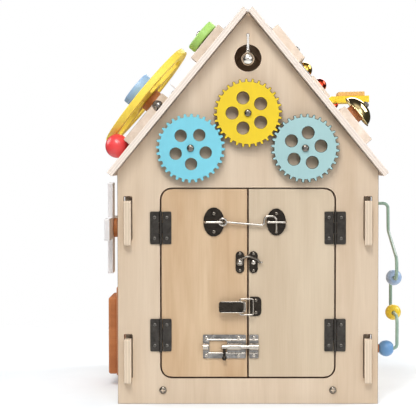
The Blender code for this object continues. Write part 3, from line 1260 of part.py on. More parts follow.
def make_left_roof():
    """Ridge board with a turning disc, white block, wheel board with hub, wheel and cap, red ball."""
    side = -1
    top = GAP + BOARD_THICKNESS
    ridge = roof_board("left_ridge_board", side, RIDGE_BOARD_START, RIDGE_BOARD_END, BOARD_FRONT_Y,
                       BOARD_LENGTH, BOARD_THICKNESS)
    washer_top = top + GREEN_WASHER
    washer = turned("washer", [(0, top - SINK), (GREEN_WASHER_RADIUS, top - SINK),
                               (GREEN_WASHER_RADIUS, washer_top), (0, washer_top)], MEDIUM_SIDES, "steel",
                    on_slope(side, GREEN_DISC_S, GREEN_DISC_Y))
    disc_low = washer_top + GAP
    disc_high = disc_low + GREEN_DISC_THICKNESS
    ring_disc("green_disc", GREEN_DISC_RADIUS, PIVOT_HOLE, disc_low, disc_high,
              on_slope(side, GREEN_DISC_S, GREEN_DISC_Y), "green_paint", LARGE_SIDES)
    under = ROOF_PLY + GAP
    bolt = pivot_bolt("bolt", disc_high + GAP + under,
                      on_slope(side, GREEN_DISC_S, GREEN_DISC_Y, disc_high + GAP))
    fuse(ridge, [washer, bolt])
    roof_board("white_block", side, RIDGE_BOARD_END + GAP, WHITE_BLOCK_END, BOARD_FRONT_Y,
               BOARD_LENGTH, WHITE_BLOCK_THICKNESS, finish="white_paint")
    board = roof_board("wheel_board", side, WHEEL_BOARD_START, WHEEL_BOARD_END, BOARD_FRONT_Y,
                       BOARD_LENGTH, BOARD_THICKNESS)
    scoop = turned("scoop", [(0, 0), (BALL_RADIUS + BALL_SCOOP, 0),
                             (BALL_RADIUS + BALL_SCOOP, top + 2 * OVERRUN), (0, top + 2 * OVERRUN)],
                   ROUND_SIDES, matrix=on_slope(side, BALL_S, BALL_Y, -OVERRUN))
    cut(board, scoop)
    middle = GAP + BOARD_THICKNESS / 2
    outward = slope(side) @ basis((END_NUT_S, side * BOARD_FRONT_Y, middle), (1, 0, 0), (0, 0, -1))
    depth = END_RECESS_DEPTH
    cut(board, turned("recess", [(0, -depth), (END_RECESS_RADIUS, -depth), (END_RECESS_RADIUS, OVERRUN),
                                 (0, OVERRUN)], SMALL_SIDES, matrix=outward))
    nut_top = END_NUT_DEPTH - depth
    combine(board, turned("nut", [(0, -depth - SINK), (END_NUT_RADIUS, -depth - SINK),
                                  (END_NUT_RADIUS, nut_top), (0, nut_top)], 6, "steel", outward))
    hub = ring_disc("hub", HUB_RADIUS, PIVOT_RADIUS / 2, top - SINK, top + HUB_HEIGHT,
                    on_slope(side, WHEEL_S, WHEEL_Y), "brown_wood")
    low = top + HUB_HEIGHT + GAP
    high = low + WHEEL_THICKNESS
    inner = WHEEL_RADIUS - WHEEL_RIM
    windows = []
    for i in range(WHEEL_SPOKES):
        start = math.pi / 2 + 2 * math.pi * i / WHEEL_SPOKES
        windows.append(wheel_window(start, start + 2 * math.pi / WHEEL_SPOKES, inner))
    plate("steering_wheel", circle(WHEEL_RADIUS, WHEEL_SIDES), windows + [circle(PIVOT_HOLE, SMALL_SIDES)],
          low, high, "yellow_paint", on_slope(side, WHEEL_S, WHEEL_Y), SMOOTH_DEG)
    collar = high + GAP
    base = collar + CAP_COLLAR_HEIGHT
    crown = base + CAP_THICKNESS
    recess = PIVOT_HEAD_RADIUS + RUNNING_GAP
    ease = EDGE_ROUND
    floor = collar + CAP_RECESS_DEPTH
    turned("wheel_cap", [(0, floor), (recess, floor), (recess, collar), (CAP_COLLAR_RADIUS, collar),
                         (CAP_COLLAR_RADIUS, base), (CAP_RADIUS - ease, base),
                         (CAP_RADIUS, base + ease), (CAP_RADIUS, crown - ease),
                         (CAP_RADIUS - ease, crown), (0, crown)],
           ROUND_SIDES + 4, "blue_paint", on_slope(side, WHEEL_S, WHEEL_Y))
    bolt = pivot_bolt("bolt", high + GAP + under, on_slope(side, WHEEL_S, WHEEL_Y, high + GAP))
    fuse(board, [hub, bolt])
    stem, ball = BALL_STEM_RADIUS, BALL_RADIUS
    centre = BALL_LIFT + ball
    joint = math.asin(stem / ball)
    profile = [(0, -BALL_STEM_LENGTH), (stem, -BALL_STEM_LENGTH)]
    for i in range(SMALL_SIDES + 1):
        angle = -math.pi / 2 + joint + (math.pi - joint) * i / SMALL_SIDES
        profile.append((max(ball * math.cos(angle), 0), centre + ball * math.sin(angle)))
    profile[-1] = (0, centre + ball)
    turned("red_ball", profile, ROUND_SIDES, "red_paint", on_slope(side, BALL_S, BALL_Y))


def wheel_window(start, end, outer):
    """Opening between two spokes: an arc inside the rim and an arc outside the hub."""
    half = WHEEL_SPOKE / 2
    points = []
    for radius, way in ((outer, 1), (WHEEL_HUB_RADIUS, -1)):
        ease = math.asin(half / radius)
        arc = [start + ease + (end - start - 2 * ease) * i / SMALL_SIDES for i in range(SMALL_SIDES + 1)]
        for angle in arc[::way]:
            points.append((radius * math.cos(angle), radius * math.sin(angle)))
    return points


def make_right_roof():
    """Ridge board, thin board with domes, bell board with post and bell, hinged flap."""
    side = 1
    ridge = roof_board("right_ridge_board", side, RIDGE_BOARD_START, RIDGE_BOARD_END, BOARD_FRONT_Y,
                       BOARD_LENGTH, BOARD_THICKNESS)
    head = pan_head(ROOF_SCREW_HEAD_RADIUS, ROOF_SCREW_HEAD_HEIGHT, ROOF_SCREW_RADIUS, SINK)
    fuse(ridge, [turned("screw", head, SMALL_SIDES, "steel",
                        on_slope(side, BOARD_SCREW_S, BOARD_SCREW_Y, GAP + BOARD_THICKNESS))])
    start = RIDGE_BOARD_END + THIN_BOARD_MARGIN
    low, high = GAP, GAP + THIN_BOARD_THICKNESS
    step = high + THIN_BOARD_STEP
    profile = [(start, low), (THIN_BOARD_END, low), (THIN_BOARD_END, step), (THIN_STRIP_END, step),
               (THIN_STRIP_END, high), (start, high)]
    ridgewise = slope(side) @ basis((0, BOARD_FRONT_Y + BOARD_LENGTH, 0), (1, 0, 0), (0, 0, 1))
    plate("thin_board", profile, [], 0, BOARD_LENGTH, "pale_birch", ridgewise)
    turned("gold_dome", dome_profile(GOLD_DOME_RADIUS, GOLD_DOME_HEIGHT), ROUND_SIDES, "gold",
           on_slope(side, GOLD_DOME_S, DOME_Y, high + GAP))
    turned("red_dome", dome_profile(RED_DOME_RADIUS, RED_DOME_HEIGHT), ROUND_SIDES, "red_metal",
                 on_slope(side, RED_DOME_S, DOME_Y, step + GAP))
    top = GAP + BOARD_THICKNESS
    board = roof_board("bell_board", side, BELL_BOARD_START, BELL_BOARD_END, BOARD_FRONT_Y, BELL_BOARD_LENGTH,
               BOARD_THICKNESS)
    bore = BELL_BOLT_RADIUS + GAP
    post_top = top + POST_HEIGHT
    ease = EDGE_ROUND
    bore_floor = post_top - BELL_BOLT_LENGTH
    post = turned("post", [(0, top - SINK), (POST_RADIUS, top - SINK), (POST_RADIUS, post_top - ease),
                           (POST_RADIUS - ease, post_top), (bore, post_top), (bore, bore_floor),
                           (0, bore_floor)], ROUND_SIDES, "brown_wood",
                  on_slope(side, ROOF_BELL_S, ROOF_BELL_Y))
    fuse(board, [post])
    crown = post_top + ROOF_BELL_LIFT
    rim = crown + ROOF_BELL_WALL - ROOF_BELL_CROWN
    outer, inner = ROOF_BELL_RADIUS, ROOF_BELL_RADIUS - ROOF_BELL_WALL
    rise = ROOF_BELL_CROWN
    shell = [(outer + ROOF_BELL_LIP, rim)]
    for i in range(1, DOME_STEPS):
        angle = math.pi / 2 * i / DOME_STEPS
        shell.append((outer * math.cos(angle), rim + rise * math.sin(angle)))
    shell.append((ROOF_BELL_HOLE, rim + rise))
    shell.append((ROOF_BELL_HOLE, rim + rise - ROOF_BELL_WALL))
    for i in range(DOME_STEPS - 1, 0, -1):
        angle = math.pi / 2 * i / DOME_STEPS
        shell.append((inner * math.cos(angle), rim + (rise - ROOF_BELL_WALL) * math.sin(angle)))
    shell.append((inner, rim))
    bell = turned("roof_bell", shell, LARGE_SIDES, "steel", on_slope(side, ROOF_BELL_S, ROOF_BELL_Y))
    seat = rim + rise - SINK
    shank = BELL_BOLT_RADIUS
    tip = bore_floor + GAP
    fuse(bell, [turned("nut", [(0, tip), (shank, tip), (shank, crown + SINK),
                               (BELL_NUT_RADIUS, crown + SINK), (BELL_NUT_RADIUS, seat + BELL_NUT_HEIGHT),
                               (BELL_NUT_RADIUS / 2, seat + BELL_NUT_HEIGHT * NUT_DOME_SHARE),
                               (0, seat + BELL_NUT_HEIGHT * NUT_DOME_SHARE)], SMALL_SIDES, "steel",
                       on_slope(side, ROOF_BELL_S, ROOF_BELL_Y))])
    make_flap()


def make_flap():
    """Flap on a pin between two ears; it rests standing open."""
    side = 1
    front, length = FLAP_BASE_FRONT_Y, FLAP_BASE_LENGTH
    top = GAP + FLAP_BASE_THICKNESS
    base = roof_board("flap_base", side, FLAP_BASE_START, FLAP_BASE_END, front, length,
                      FLAP_BASE_THICKNESS, finish="yellow_paint")
    half = FLAP_THICKNESS / 2
    axis_h = top + GAP + half
    ears = (FLAP_FRONT_Y - GAP - FLAP_EAR, FLAP_FRONT_Y + FLAP_WIDTH + GAP)
    for low_y in ears:
        arch = [(half, top - half)] + [(x, z + axis_h) for x, z in circle_arc(half, 0, 180, SMALL_SIDES)]
        arch.append((-half, top - half))
        ear = plate("ear", arch, [], 0, FLAP_EAR, "yellow_paint",
                    slope(side) @ basis((FLAP_S, low_y + FLAP_EAR, 0), (1, 0, 0), (0, 0, 1)))
        combine(base, ear)
    pin_low = ears[0] + FLAP_EAR / 2
    pin_high = ears[1] + FLAP_EAR / 2
    line = slope(side) @ basis((FLAP_S, pin_high, axis_h), (1, 0, 0), (0, 0, 1))
    span = pin_high - pin_low
    clear = FLAP_PIN_RADIUS + GAP
    pin = turned("pin", [(0, 0), (FLAP_PIN_RADIUS, 0), (FLAP_PIN_RADIUS, span), (0, span)], SMALL_SIDES,
                 "black_metal", line)
    stud = turned("stud", dome_profile(RED_STUD_RADIUS, RED_STUD_HEIGHT), SMALL_SIDES, "red_metal",
                  on_slope(side, RED_STUD_S, RED_STUD_Y, top - SINK))
    fuse(base, [pin, stud])
    opened = Matrix.Rotation(-math.radians(FLAP_OPEN_DEG), 4, "Y")
    frame = slope(side) @ Matrix.Translation((FLAP_S, FLAP_FRONT_Y + FLAP_WIDTH, axis_h)) @ opened
    frame = frame @ basis((0, 0, 0), (1, 0, 0), (0, 0, 1))
    outline = circle_arc(half, 90, 270, SMALL_SIDES) + [(FLAP_LENGTH - EDGE_ROUND, -half),
                                              (FLAP_LENGTH, -half + EDGE_ROUND),
                                              (FLAP_LENGTH, half - EDGE_ROUND),
                                              (FLAP_LENGTH - EDGE_ROUND, half)]
    flap = plate("yellow_flap", outline, [circle(clear, SMALL_SIDES)], 0, FLAP_WIDTH, "yellow_paint",
                 frame)
    low = half - SINK
    margin = (FLAP_WIDTH - TAN_BAR_WIDTH) / 2
    bar = plate("bar", rectangle(TAN_BAR_START, TAN_BAR_START + TAN_BAR_LENGTH, low,
                                      low + TAN_BAR_THICKNESS, EDGE_ROUND, 1), [], margin,
                margin + TAN_BAR_WIDTH, "tan_wood", frame)
    fuse(flap, [bar])
    carry(hinge_empty("flap_pivot", slope(side) @ Vector((FLAP_S, FLAP_FRONT_Y, axis_h))), [flap])


def circle_arc(radius, start, end, steps):
    return [(radius * math.cos(math.radians(start + (end - start) * i / steps)),
             radius * math.sin(math.radians(start + (end - start) * i / steps)))
            for i in range(steps + 1)]


def build():
    clear_scene()
    gables = make_gables()
    make_base_board()
    make_roof(gables)
    make_doors()
    make_gears()
    make_hanging_bell()
    spacer = make_left_wall()
    dowel = make_right_wall()
    make_side_panels(spacer, dowel)
    make_left_roof()
    make_right_roof()


build()
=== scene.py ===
"""Looks of a wooden activity house: finishes, fine forms, studio and camera.

Metres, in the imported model's frame: +Z up, the front faces -Y, and the origin is the middle of the
front panel's bottom edge. Slope coordinates are s down a roof slope, y from the front, h above the roof.
"""

import json
import math

import bmesh
import bpy
from mathutils import Matrix, Vector


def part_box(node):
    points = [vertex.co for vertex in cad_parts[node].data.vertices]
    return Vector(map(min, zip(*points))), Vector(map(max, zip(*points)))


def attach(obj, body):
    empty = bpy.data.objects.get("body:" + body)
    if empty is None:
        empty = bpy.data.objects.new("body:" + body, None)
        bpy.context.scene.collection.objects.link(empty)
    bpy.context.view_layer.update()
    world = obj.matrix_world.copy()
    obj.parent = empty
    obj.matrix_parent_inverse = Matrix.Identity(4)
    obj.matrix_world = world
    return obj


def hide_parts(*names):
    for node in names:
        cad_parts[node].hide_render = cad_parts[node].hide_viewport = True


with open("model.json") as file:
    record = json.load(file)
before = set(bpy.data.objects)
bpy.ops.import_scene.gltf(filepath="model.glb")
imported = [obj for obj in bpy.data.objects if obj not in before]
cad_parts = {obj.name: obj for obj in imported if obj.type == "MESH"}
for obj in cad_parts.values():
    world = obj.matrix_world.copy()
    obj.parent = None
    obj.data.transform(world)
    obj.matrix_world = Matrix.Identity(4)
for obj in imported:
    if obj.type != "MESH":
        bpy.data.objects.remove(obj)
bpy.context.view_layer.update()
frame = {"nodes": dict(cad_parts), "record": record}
BODY_OF = {node: body for body, nodes in frame["record"]["behaviour"]["bodies"].items() for node in nodes}
LEFT, RIGHT = -1, 1

# House
PLY = 0.008
GAP = 0.0003
FRONT = -PLY / 2
HALF_WIDTH = 0.150
EAVE_HEIGHT = 0.269
PITCH = math.radians(50.5)
APEX = EAVE_HEIGHT + HALF_WIDTH * math.tan(PITCH)
WALL = 0.142
WALL_MIDDLE = 0.138
BACK_MIDDLE = 0.292
ROOF_PLY = 0.007
ROOF_MIDDLE = APEX * math.cos(PITCH) + GAP + ROOF_PLY / 2
EDGE = 0.0007
EASED_ANGLE = 35
ROUND = 64
SMALL_ROUND = 32
FLOOR_RADIUS = 1.2

# Gears and bolts: each gear's first hole in degrees, and its finish
GEARS = {"yellow_gear": (36, "yellow_gear_paint"), "cyan_gear": (56, "cyan_paint"),
         "teal_gear": (8, "teal_paint")}
GEAR_TEETH = 32
GEAR_PITCH_RADIUS = 0.0384
GEAR_ADDENDUM = 0.0009
GEAR_DEDENDUM = 0.0026
GEAR_ROOT_HALF = 0.0019
GEAR_TIP_HALF = 0.0012
GEAR_HOLES = 5
GEAR_HOLE_RADIUS = 0.0070
GEAR_HOLE_CIRCLE = 0.0180
AXLE_HOLE = 0.0031
SPACER_HOLE = 0.0026
HEAD_RADIUS = 0.0040
HEAD_HEIGHT = 0.0028
HEAD_COVER = 0.0002
COVERED_RADIUS = HEAD_RADIUS + HEAD_COVER
SOCKET_RADIUS = 0.0019
SOCKET_DEPTH = 0.0014

# Door hardware
PLATE = 0.0012
PLATE_FRONT = FRONT - GAP - PLATE
PLATE_EDGE = 0.0003
PLATE_SCREW = 0.0021
SCREW_HEIGHT = 0.0009
LEAF = 0.0010
LEAF_HEIGHT = 0.0375
KNUCKLE_RADIUS = 0.0019
PIN_X = 0.10025
PIN_Y = -0.0062
HINGE_HEIGHTS = {"lower": 0.0798, "upper": 0.2035}
HINGE_SCREW = (0.0020, 0.0010)
HINGE_SCREW_REACH = 0.0070
HINGE_SCREW_SPREAD = 0.0120
TOGGLE_HEIGHT = 0.1130
TOGGLE_PIN = (-0.0045, PLATE_FRONT - 0.0045)
TOGGLE_SHEET = 0.0007
LEVER_HALF = 0.0063
BOLT_HEIGHT = 0.0667
BOLT_ROD = 0.0026
BOLT_PLATE_HALF = 0.0137
BOLT_RIB_RISE = 0.0078
BOLT_SCREW_RISE = 0.0104

# Walls and roof: half a bead's length, the boards on the slopes, and the middles of what stands on them
BEAD_HALF = 0.0084
BOARD = 0.0120
BOARD_TOP = GAP + BOARD
BOARD_Y = 0.025
BOARD_LENGTH = 0.150
RIDGE_BOARD = (0.0310, 0.0812)
WHEEL_S, WHEEL_Y = 0.150, 0.100
DISC_S, DISC_Y = 0.0524, 0.060
BALL_S, BALL_Y = 0.2166, 0.050
BELL_S, BELL_Y = 0.1702, 0.094
DOME_Y = 0.060


# Small shape tools

def mesh_piece(name, bm, finish, matrix=None, smooth=30, bevel=0.0, segments=2):
    """A finished piece from a bmesh: smooth shading split at sharp edges, and eased edges."""
    bmesh.ops.recalc_face_normals(bm, faces=bm.faces)
    mesh = bpy.data.meshes.new(name)
    bm.to_mesh(mesh)
    bm.free()
    piece = bpy.data.objects.new(name, mesh)
    bpy.context.collection.objects.link(piece)
    piece.data.materials.append(FINISHES[finish])
    if matrix is not None:
        piece.matrix_world = matrix
    dress(piece, smooth, bevel, segments)
    return piece


def dress(piece, smooth=30, bevel=0.0, segments=2):
    piece.data.shade_smooth()
    piece.data.set_sharp_from_angle(angle=math.radians(smooth))
    if bevel:
        ease_edges(piece, bevel, segments).harden_normals = True


def ease_edges(piece, width, segments=2):
    ease = piece.modifiers.new("eased edges", "BEVEL")
    ease.width = width
    ease.segments = segments
    ease.limit_method = "ANGLE"
    ease.angle_limit = math.radians(EASED_ANGLE)
    return ease


def polar(radius, angle):
    return radius * math.cos(angle), radius * math.sin(angle)


def ellipse(across, tall, sides=ROUND, centre=(0.0, 0.0)):
    turns = [2 * math.pi * i / sides for i in range(sides)]
    return [(centre[0] + across * math.cos(a), centre[1] + tall * math.sin(a)) for a in turns]


def circle(radius, sides=ROUND, centre=(0.0, 0.0)):
    return ellipse(radius, radius, sides, centre)


def arc(radius, start, end, steps, centre=(0.0, 0.0)):
    turns = [math.radians(start + (end - start) * i / steps) for i in range(steps + 1)]
    return [(centre[0] + radius * math.cos(a), centre[1] + radius * math.sin(a)) for a in turns]


def rectangle(left, right, low, high, corner=0.0, steps=6):
    if not corner:
        return [(left, low), (right, low), (right, high), (left, high)]
    centres = ((right - corner, low + corner, -90), (right - corner, high - corner, 0),
               (left + corner, high - corner, 90), (left + corner, low + corner, 180))
    points = []
    for x, y, start in centres:
        points += arc(corner, start, start + 90, steps, (x, y))
    return points


def capsule(x, z, width, height):
    radius = width / 2
    rise = height / 2 - radius
    return arc(radius, 0, 180, 20, (x, z + rise)) + arc(radius, 180, 360, 20, (x, z - rise))


def domed(radius, height, steps=8, low=0.0):
    """Points from the rim of a low dome up to its crown."""
    turns = [math.pi / 2 * i / steps for i in range(steps + 1)]
    return [(radius * math.cos(a), low + height * math.sin(a)) for a in turns]


def plate(name, outline, holes, low, high, finish, matrix=None, bevel=EDGE, segments=2):
    """Extrudes an outline with holes along local z from low to high."""
    bm = bmesh.new()
    edges = []
    for loop in [outline] + list(holes):
        verts = [bm.verts.new((x, y, low)) for x, y in loop]
        edges += [bm.edges.new((vert, verts[(i + 1) % len(verts)])) for i, vert in enumerate(verts)]
    bmesh.ops.triangle_fill(bm, use_beauty=True, edges=edges)
    moved = bmesh.ops.extrude_face_region(bm, geom=bm.faces[:])
    top = [item for item in moved["geom"] if isinstance(item, bmesh.types.BMVert)]
    bmesh.ops.translate(bm, verts=top, vec=(0, 0, high - low))
    bmesh.ops.dissolve_limit(bm, angle_limit=math.radians(1), verts=bm.verts, edges=bm.edges)
    return mesh_piece(name, bm, finish, matrix, 30, bevel, segments)


def turned(name, profile, finish, matrix=None, sides=ROUND, smooth=40):
    """Spins (radius, height) points round local z."""
    bm = bmesh.new()
    verts = [bm.verts.new((radius, 0, height)) for radius, height in profile]
    edges = [bm.edges.new(pair) for pair in zip(verts, verts[1:])]
    if profile[0][0] > 0:
        edges.append(bm.edges.new((verts[-1], verts[0])))
    bmesh.ops.spin(bm, geom=verts + edges, cent=(0, 0, 0), axis=(0, 0, 1), angle=2 * math.pi,
                   steps=sides, use_merge=True)
    bmesh.ops.remove_doubles(bm, verts=bm.verts, dist=1e-6)
    return mesh_piece(name, bm, finish, matrix, smooth)


def tube(name, points, radius, finish, closed=False):
    """A round wire along a path."""
    data = bpy.data.curves.new(name, "CURVE")
    data.dimensions = "3D"
    data.bevel_depth = radius
    data.bevel_resolution = 6
    data.use_fill_caps = True
    spline = data.splines.new("POLY")
    spline.points.add(len(points) - 1)
    for slot, point in zip(spline.points, points):
        slot.co = (*point, 1.0)
    spline.use_cyclic_u = closed
    spline.use_smooth = True
    wire = bpy.data.objects.new(name + "_path", data)
    bpy.context.collection.objects.link(wire)
    bpy.context.view_layer.update()
    evaluated = wire.evaluated_get(bpy.context.evaluated_depsgraph_get())
    mesh = bpy.data.meshes.new_from_object(evaluated)
    bpy.data.objects.remove(wire, do_unlink=True)
    bm = bmesh.new()
    bm.from_mesh(mesh)
    bmesh.ops.remove_doubles(bm, verts=bm.verts, dist=1e-6)
    return mesh_piece(name, bm, finish, None, 60)


def bent_path(corners, bends, steps=12):
    """A path through corners, each inner corner an arc of its bend's radius."""
    points = [Vector(corners[0])]
    for i in range(1, len(corners) - 1):
        radius = bends[i - 1] if isinstance(bends, (list, tuple)) else bends
        corner = Vector(corners[i])
        before = (Vector(corners[i - 1]) - corner).normalized()
        after = (Vector(corners[i + 1]) - corner).normalized()
        half = before.angle(after) / 2
        centre = corner + (before + after).normalized() * (radius / math.sin(half))
        start = corner + before * (radius / math.tan(half)) - centre
        end = corner + after * (radius / math.tan(half)) - centre
        axis = start.cross(end).normalized()
        turn = math.pi - 2 * half
        points += [centre + Matrix.Rotation(turn * k / steps, 3, axis) @ start for k in range(steps + 1)]
    points.append(Vector(corners[-1]))
    return points


def combine(target, tool, operation="UNION"):
    """Joins or cuts closed pieces before their edges are eased."""
    eased = [(m.width, m.segments) for m in target.modifiers if m.type == "BEVEL"]
    target.modifiers.clear()
    tool.modifiers.clear()
    bpy.context.view_layer.update()
    modifier = target.modifiers.new("join", "BOOLEAN")
    modifier.operation = operation
    modifier.solver = "EXACT"
    modifier.object = tool
    depsgraph = bpy.context.evaluated_depsgraph_get()
    target.data = bpy.data.meshes.new_from_object(target.evaluated_get(depsgraph))
    target.modifiers.clear()
    target.data.name = target.name
    bpy.data.objects.remove(tool, do_unlink=True)
    dress(target, 30, *(eased[0] if eased else ()))
    return target


def drill(target, radius, low, high, matrix):
    """Cuts a round recess from low to high along local z."""
    profile = [(0, low), (radius, low), (radius, high), (0, high)]
    combine(target, turned("drill", profile, "socket_dark", matrix), "DIFFERENCE")


# Places

def basis(origin, x_axis, y_axis):
    x_axis, y_axis = Vector(x_axis), Vector(y_axis)
    turn = Matrix((x_axis, y_axis, x_axis.cross(y_axis))).transposed()
    return Matrix.Translation(origin) @ turn.to_4x4()


def shift(x, y, z):
    return Matrix.Translation((x, y, z))


def forward(x, y, z):
    """Local z points out of the front."""
    return basis((x, y, z), (1, 0, 0), (0, 0, 1))


def outward(side, y, z, out=0.0):
    """Local z points out of a side wall, from its face."""
    return basis((side * (WALL + out), y, z), (0, side, 0), (0, 0, 1))


def slope(side):
    """Local x runs down a roof slope, and local z stands on it."""
    along_slope = Vector((side * math.cos(PITCH), 0, -math.sin(PITCH)))
    out = Vector((side * math.sin(PITCH), 0, math.cos(PITCH)))
    origin = Vector((0, 0, APEX)) + out * (GAP + ROOF_PLY)
    return basis(origin, along_slope, out.cross(along_slope))


def on_slope(side, s, y, h=0.0):
    return slope(side) @ shift(s, side * y, h)


# How the pieces belong to the model

def stand_for(pieces, *nodes):
    """The pieces replace these nodes: they ride on the first node's body, and the nodes are hidden."""
    for piece in pieces if isinstance(pieces, (list, tuple)) else [pieces]:
        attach(piece, BODY_OF[nodes[0]])
        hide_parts(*nodes)


def add_to(piece, node):
    """A fine piece that rides with a node, over a form which the model already has."""
    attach(piece, BODY_OF[node])


# Finishes

class Tree:
    """The node tree of a material or a world, with short calls for the nodes used here."""

    def __init__(self, owner):
        owner.use_nodes = True
        self.owner = owner
        self.nodes = owner.node_tree.nodes
        self.links = owner.node_tree.links
        self.shader = self.nodes.get("Principled BSDF")

    def link(self, start, end):
        self.links.new(start, end)

    def fill(self, sockets, values):
        """Each value is a constant for its socket, or an output that is linked to it."""
        for socket, value in zip(sockets, values):
            if isinstance(value, bpy.types.NodeSocket):
                self.link(value, socket)
            elif socket.type == "RGBA":
                socket.default_value = (*value, 1.0)
            else:
                socket.default_value = value

    def add(self, kind, inputs=None, **settings):
        node = self.nodes.new(kind)
        for key, value in settings.items():
            setattr(node, key, value)
        if inputs:
            self.fill([node.inputs[key] for key in inputs], inputs.values())
        return node

    def place(self, output="Object"):
        return self.add("ShaderNodeTexCoord").outputs[output]

    def mapping(self, vector, **settings):
        return self.add("ShaderNodeMapping", {"Vector": vector, **settings}).outputs["Vector"]

    def coordinates(self, scale=(1, 1, 1), turn=(0, 0, 0), shift_by=(0, 0, 0)):
        turned_place = self.mapping(self.place(), Rotation=turn)
        return self.mapping(turned_place, Scale=scale, Location=shift_by)

    def noise(self, vector, scale, detail=4.0, distortion=0.0, roughness=0.55):
        inputs = {"Vector": vector, "Scale": scale, "Detail": detail, "Distortion": distortion,
                  "Roughness": roughness}
        return self.add("ShaderNodeTexNoise", inputs).outputs["Fac"]

    def ramp(self, factor, stops, interpolation="LINEAR"):
        node = self.add("ShaderNodeValToRGB")
        node.color_ramp.interpolation = interpolation
        while len(node.color_ramp.elements) < len(stops):
            node.color_ramp.elements.new(0.5)
        for element, (place, colour) in zip(node.color_ramp.elements, stops):
            element.position = place
            element.color = (*colour, 1.0)
        self.link(factor, node.inputs["Fac"])
        return node.outputs["Color"]

    def mix(self, factor, first, second, blend="MIX"):
        node = self.add("ShaderNodeMix", data_type="RGBA", blend_type=blend)
        colours = [socket for socket in node.inputs if socket.type == "RGBA"]
        self.fill([node.inputs[0]] + colours, (factor, first, second))
        return [socket for socket in node.outputs if socket.type == "RGBA"][0]

    def math(self, operation, first, second=0.0):
        return self.add("ShaderNodeMath", {0: first, 1: second}, operation=operation).outputs[0]

    def bump(self, height, strength, distance):
        node = self.add("ShaderNodeBump", {"Height": height, "Strength": strength, "Distance": distance})
        self.link(node.outputs["Normal"], self.shader.inputs["Normal"])

    def finish(self, base, **values):
        """Links the base colour, sets or links the shader's other sockets, and gives the material."""
        self.link(base, self.shader.inputs["Base Color"])
        self.fill([self.shader.inputs[name.replace("_", " ")] for name in values], values.values())
        return self.owner


def new_material(name):
    return Tree(bpy.data.materials.new(name))


def rgb(red, green, blue):
    """Display colour in 0 to 255 as the linear colour that a shader takes."""
    parts = [value / 255 for value in (red, green, blue)]
    return tuple(v / 12.92 if v <= 0.04045 else ((v + 0.055) / 1.055) ** 2.4 for v in parts)


def shade(colour, factor):
    return tuple(min(1.0, channel * factor) for channel in colour)


def grey(level):
    return (level,) * 3


def turned_part(tree, output, axis, turn):
    """One coordinate of the place or the normal, in the frame that follows the grain."""
    place = tree.mapping(tree.place(output), Rotation=turn)
    return tree.add("ShaderNodeSeparateXYZ", {0: place}).outputs[axis]


def facing(tree, axis, turn=(0, 0, 0), limit=0.6):
    """1 where a face is square to the turned axis, and 0 on the edges round it."""
    normal = turned_part(tree, "Normal", axis, turn)
    return tree.math("GREATER_THAN", tree.math("ABSOLUTE", normal), limit)


def along(axis, across, lengthwise):
    """Texture scales that are low along the grain's axis and high across it."""
    return tuple(lengthwise if i == axis else across for i in range(3))


def wood(name, tones, turn=(0, 0, 0), grain=2, figure=1.0, seed=0.0, layers=None, burnt=None):
    """Bare wood: soft figure and fine fibres along the turned grain axis, and plies where layers says.

    layers is (axis number in turned coordinates, middle, thickness): faces square to that axis show
    the veneer's face, and all others show the plies' edges. The edge colour argument (axis number, colour)
    browns the other edges: partly the browning a laser leaves, and partly painted shade for the gaps and
    holes they line.
    """
    pale, deep = tones
    tree = new_material(name)
    broad = tree.coordinates(along(grain, 14, 1.6), turn, (seed, seed * 2, seed * 3))
    fine = tree.coordinates(along(grain, 700, 18), turn, (seed, 0, seed))
    figure_noise = tree.noise(broad, 1.0, 5.0, 1.2, 0.5)
    bands = tree.noise(broad, 5.0, 3.0, 0.6, 0.6)
    fibres = tree.noise(fine, 1.0, 3.0)
    spread = 0.22 / figure
    base = tree.ramp(figure_noise, ((max(0.5 - spread, 0), pale), (min(0.5 + spread, 1), deep)))
    streaks = tree.ramp(bands, ((0.35, shade(pale, 1.04)), (0.68, shade(deep, 0.93))))
    base = tree.mix(0.22 * figure, base, streaks)
    threads = tree.ramp(fibres, ((0.3, (0.90, 0.88, 0.85)), (0.62, grey(1.0))))
    base = tree.mix(0.4, base, threads, "MULTIPLY")
    if layers:
        base = ply_edges(tree, base, pale, deep, turn, layers)
    # Browned edges: partly laser browning, partly painted shade that darkens the door gaps, slots and holes
    if burnt:
        base = tree.mix(facing(tree, burnt[0], turn, 0.985), burnt[1], base)
    roughness = tree.ramp(fibres, ((0.2, grey(0.62)), (0.8, grey(0.5))))
    tree.bump(fibres, 0.25, 0.0002)
    return tree.finish(base, Roughness=roughness, Specular_IOR_Level=0.35)


def ply_edges(tree, face, pale, deep, turn, layers):
    axis, middle, thickness = layers
    place = turned_part(tree, "Object", axis, turn)
    depth = tree.math("DIVIDE", tree.math("SUBTRACT", place, middle), thickness)
    depth = tree.math("ADD", depth, 0.5)
    glue, inner, outer = shade(deep, 0.72), shade(deep, 0.9), shade(pale, 1.02)
    stops = ((0.0, outer), (0.17, glue), (0.21, inner), (0.38, glue), (0.42, outer),
             (0.58, glue), (0.62, inner), (0.79, glue), (0.83, outer))
    plies = tree.ramp(depth, stops, "CONSTANT")
    plies = tree.mix(0.6, plies, outer)
    return tree.mix(facing(tree, axis, turn), plies, face)


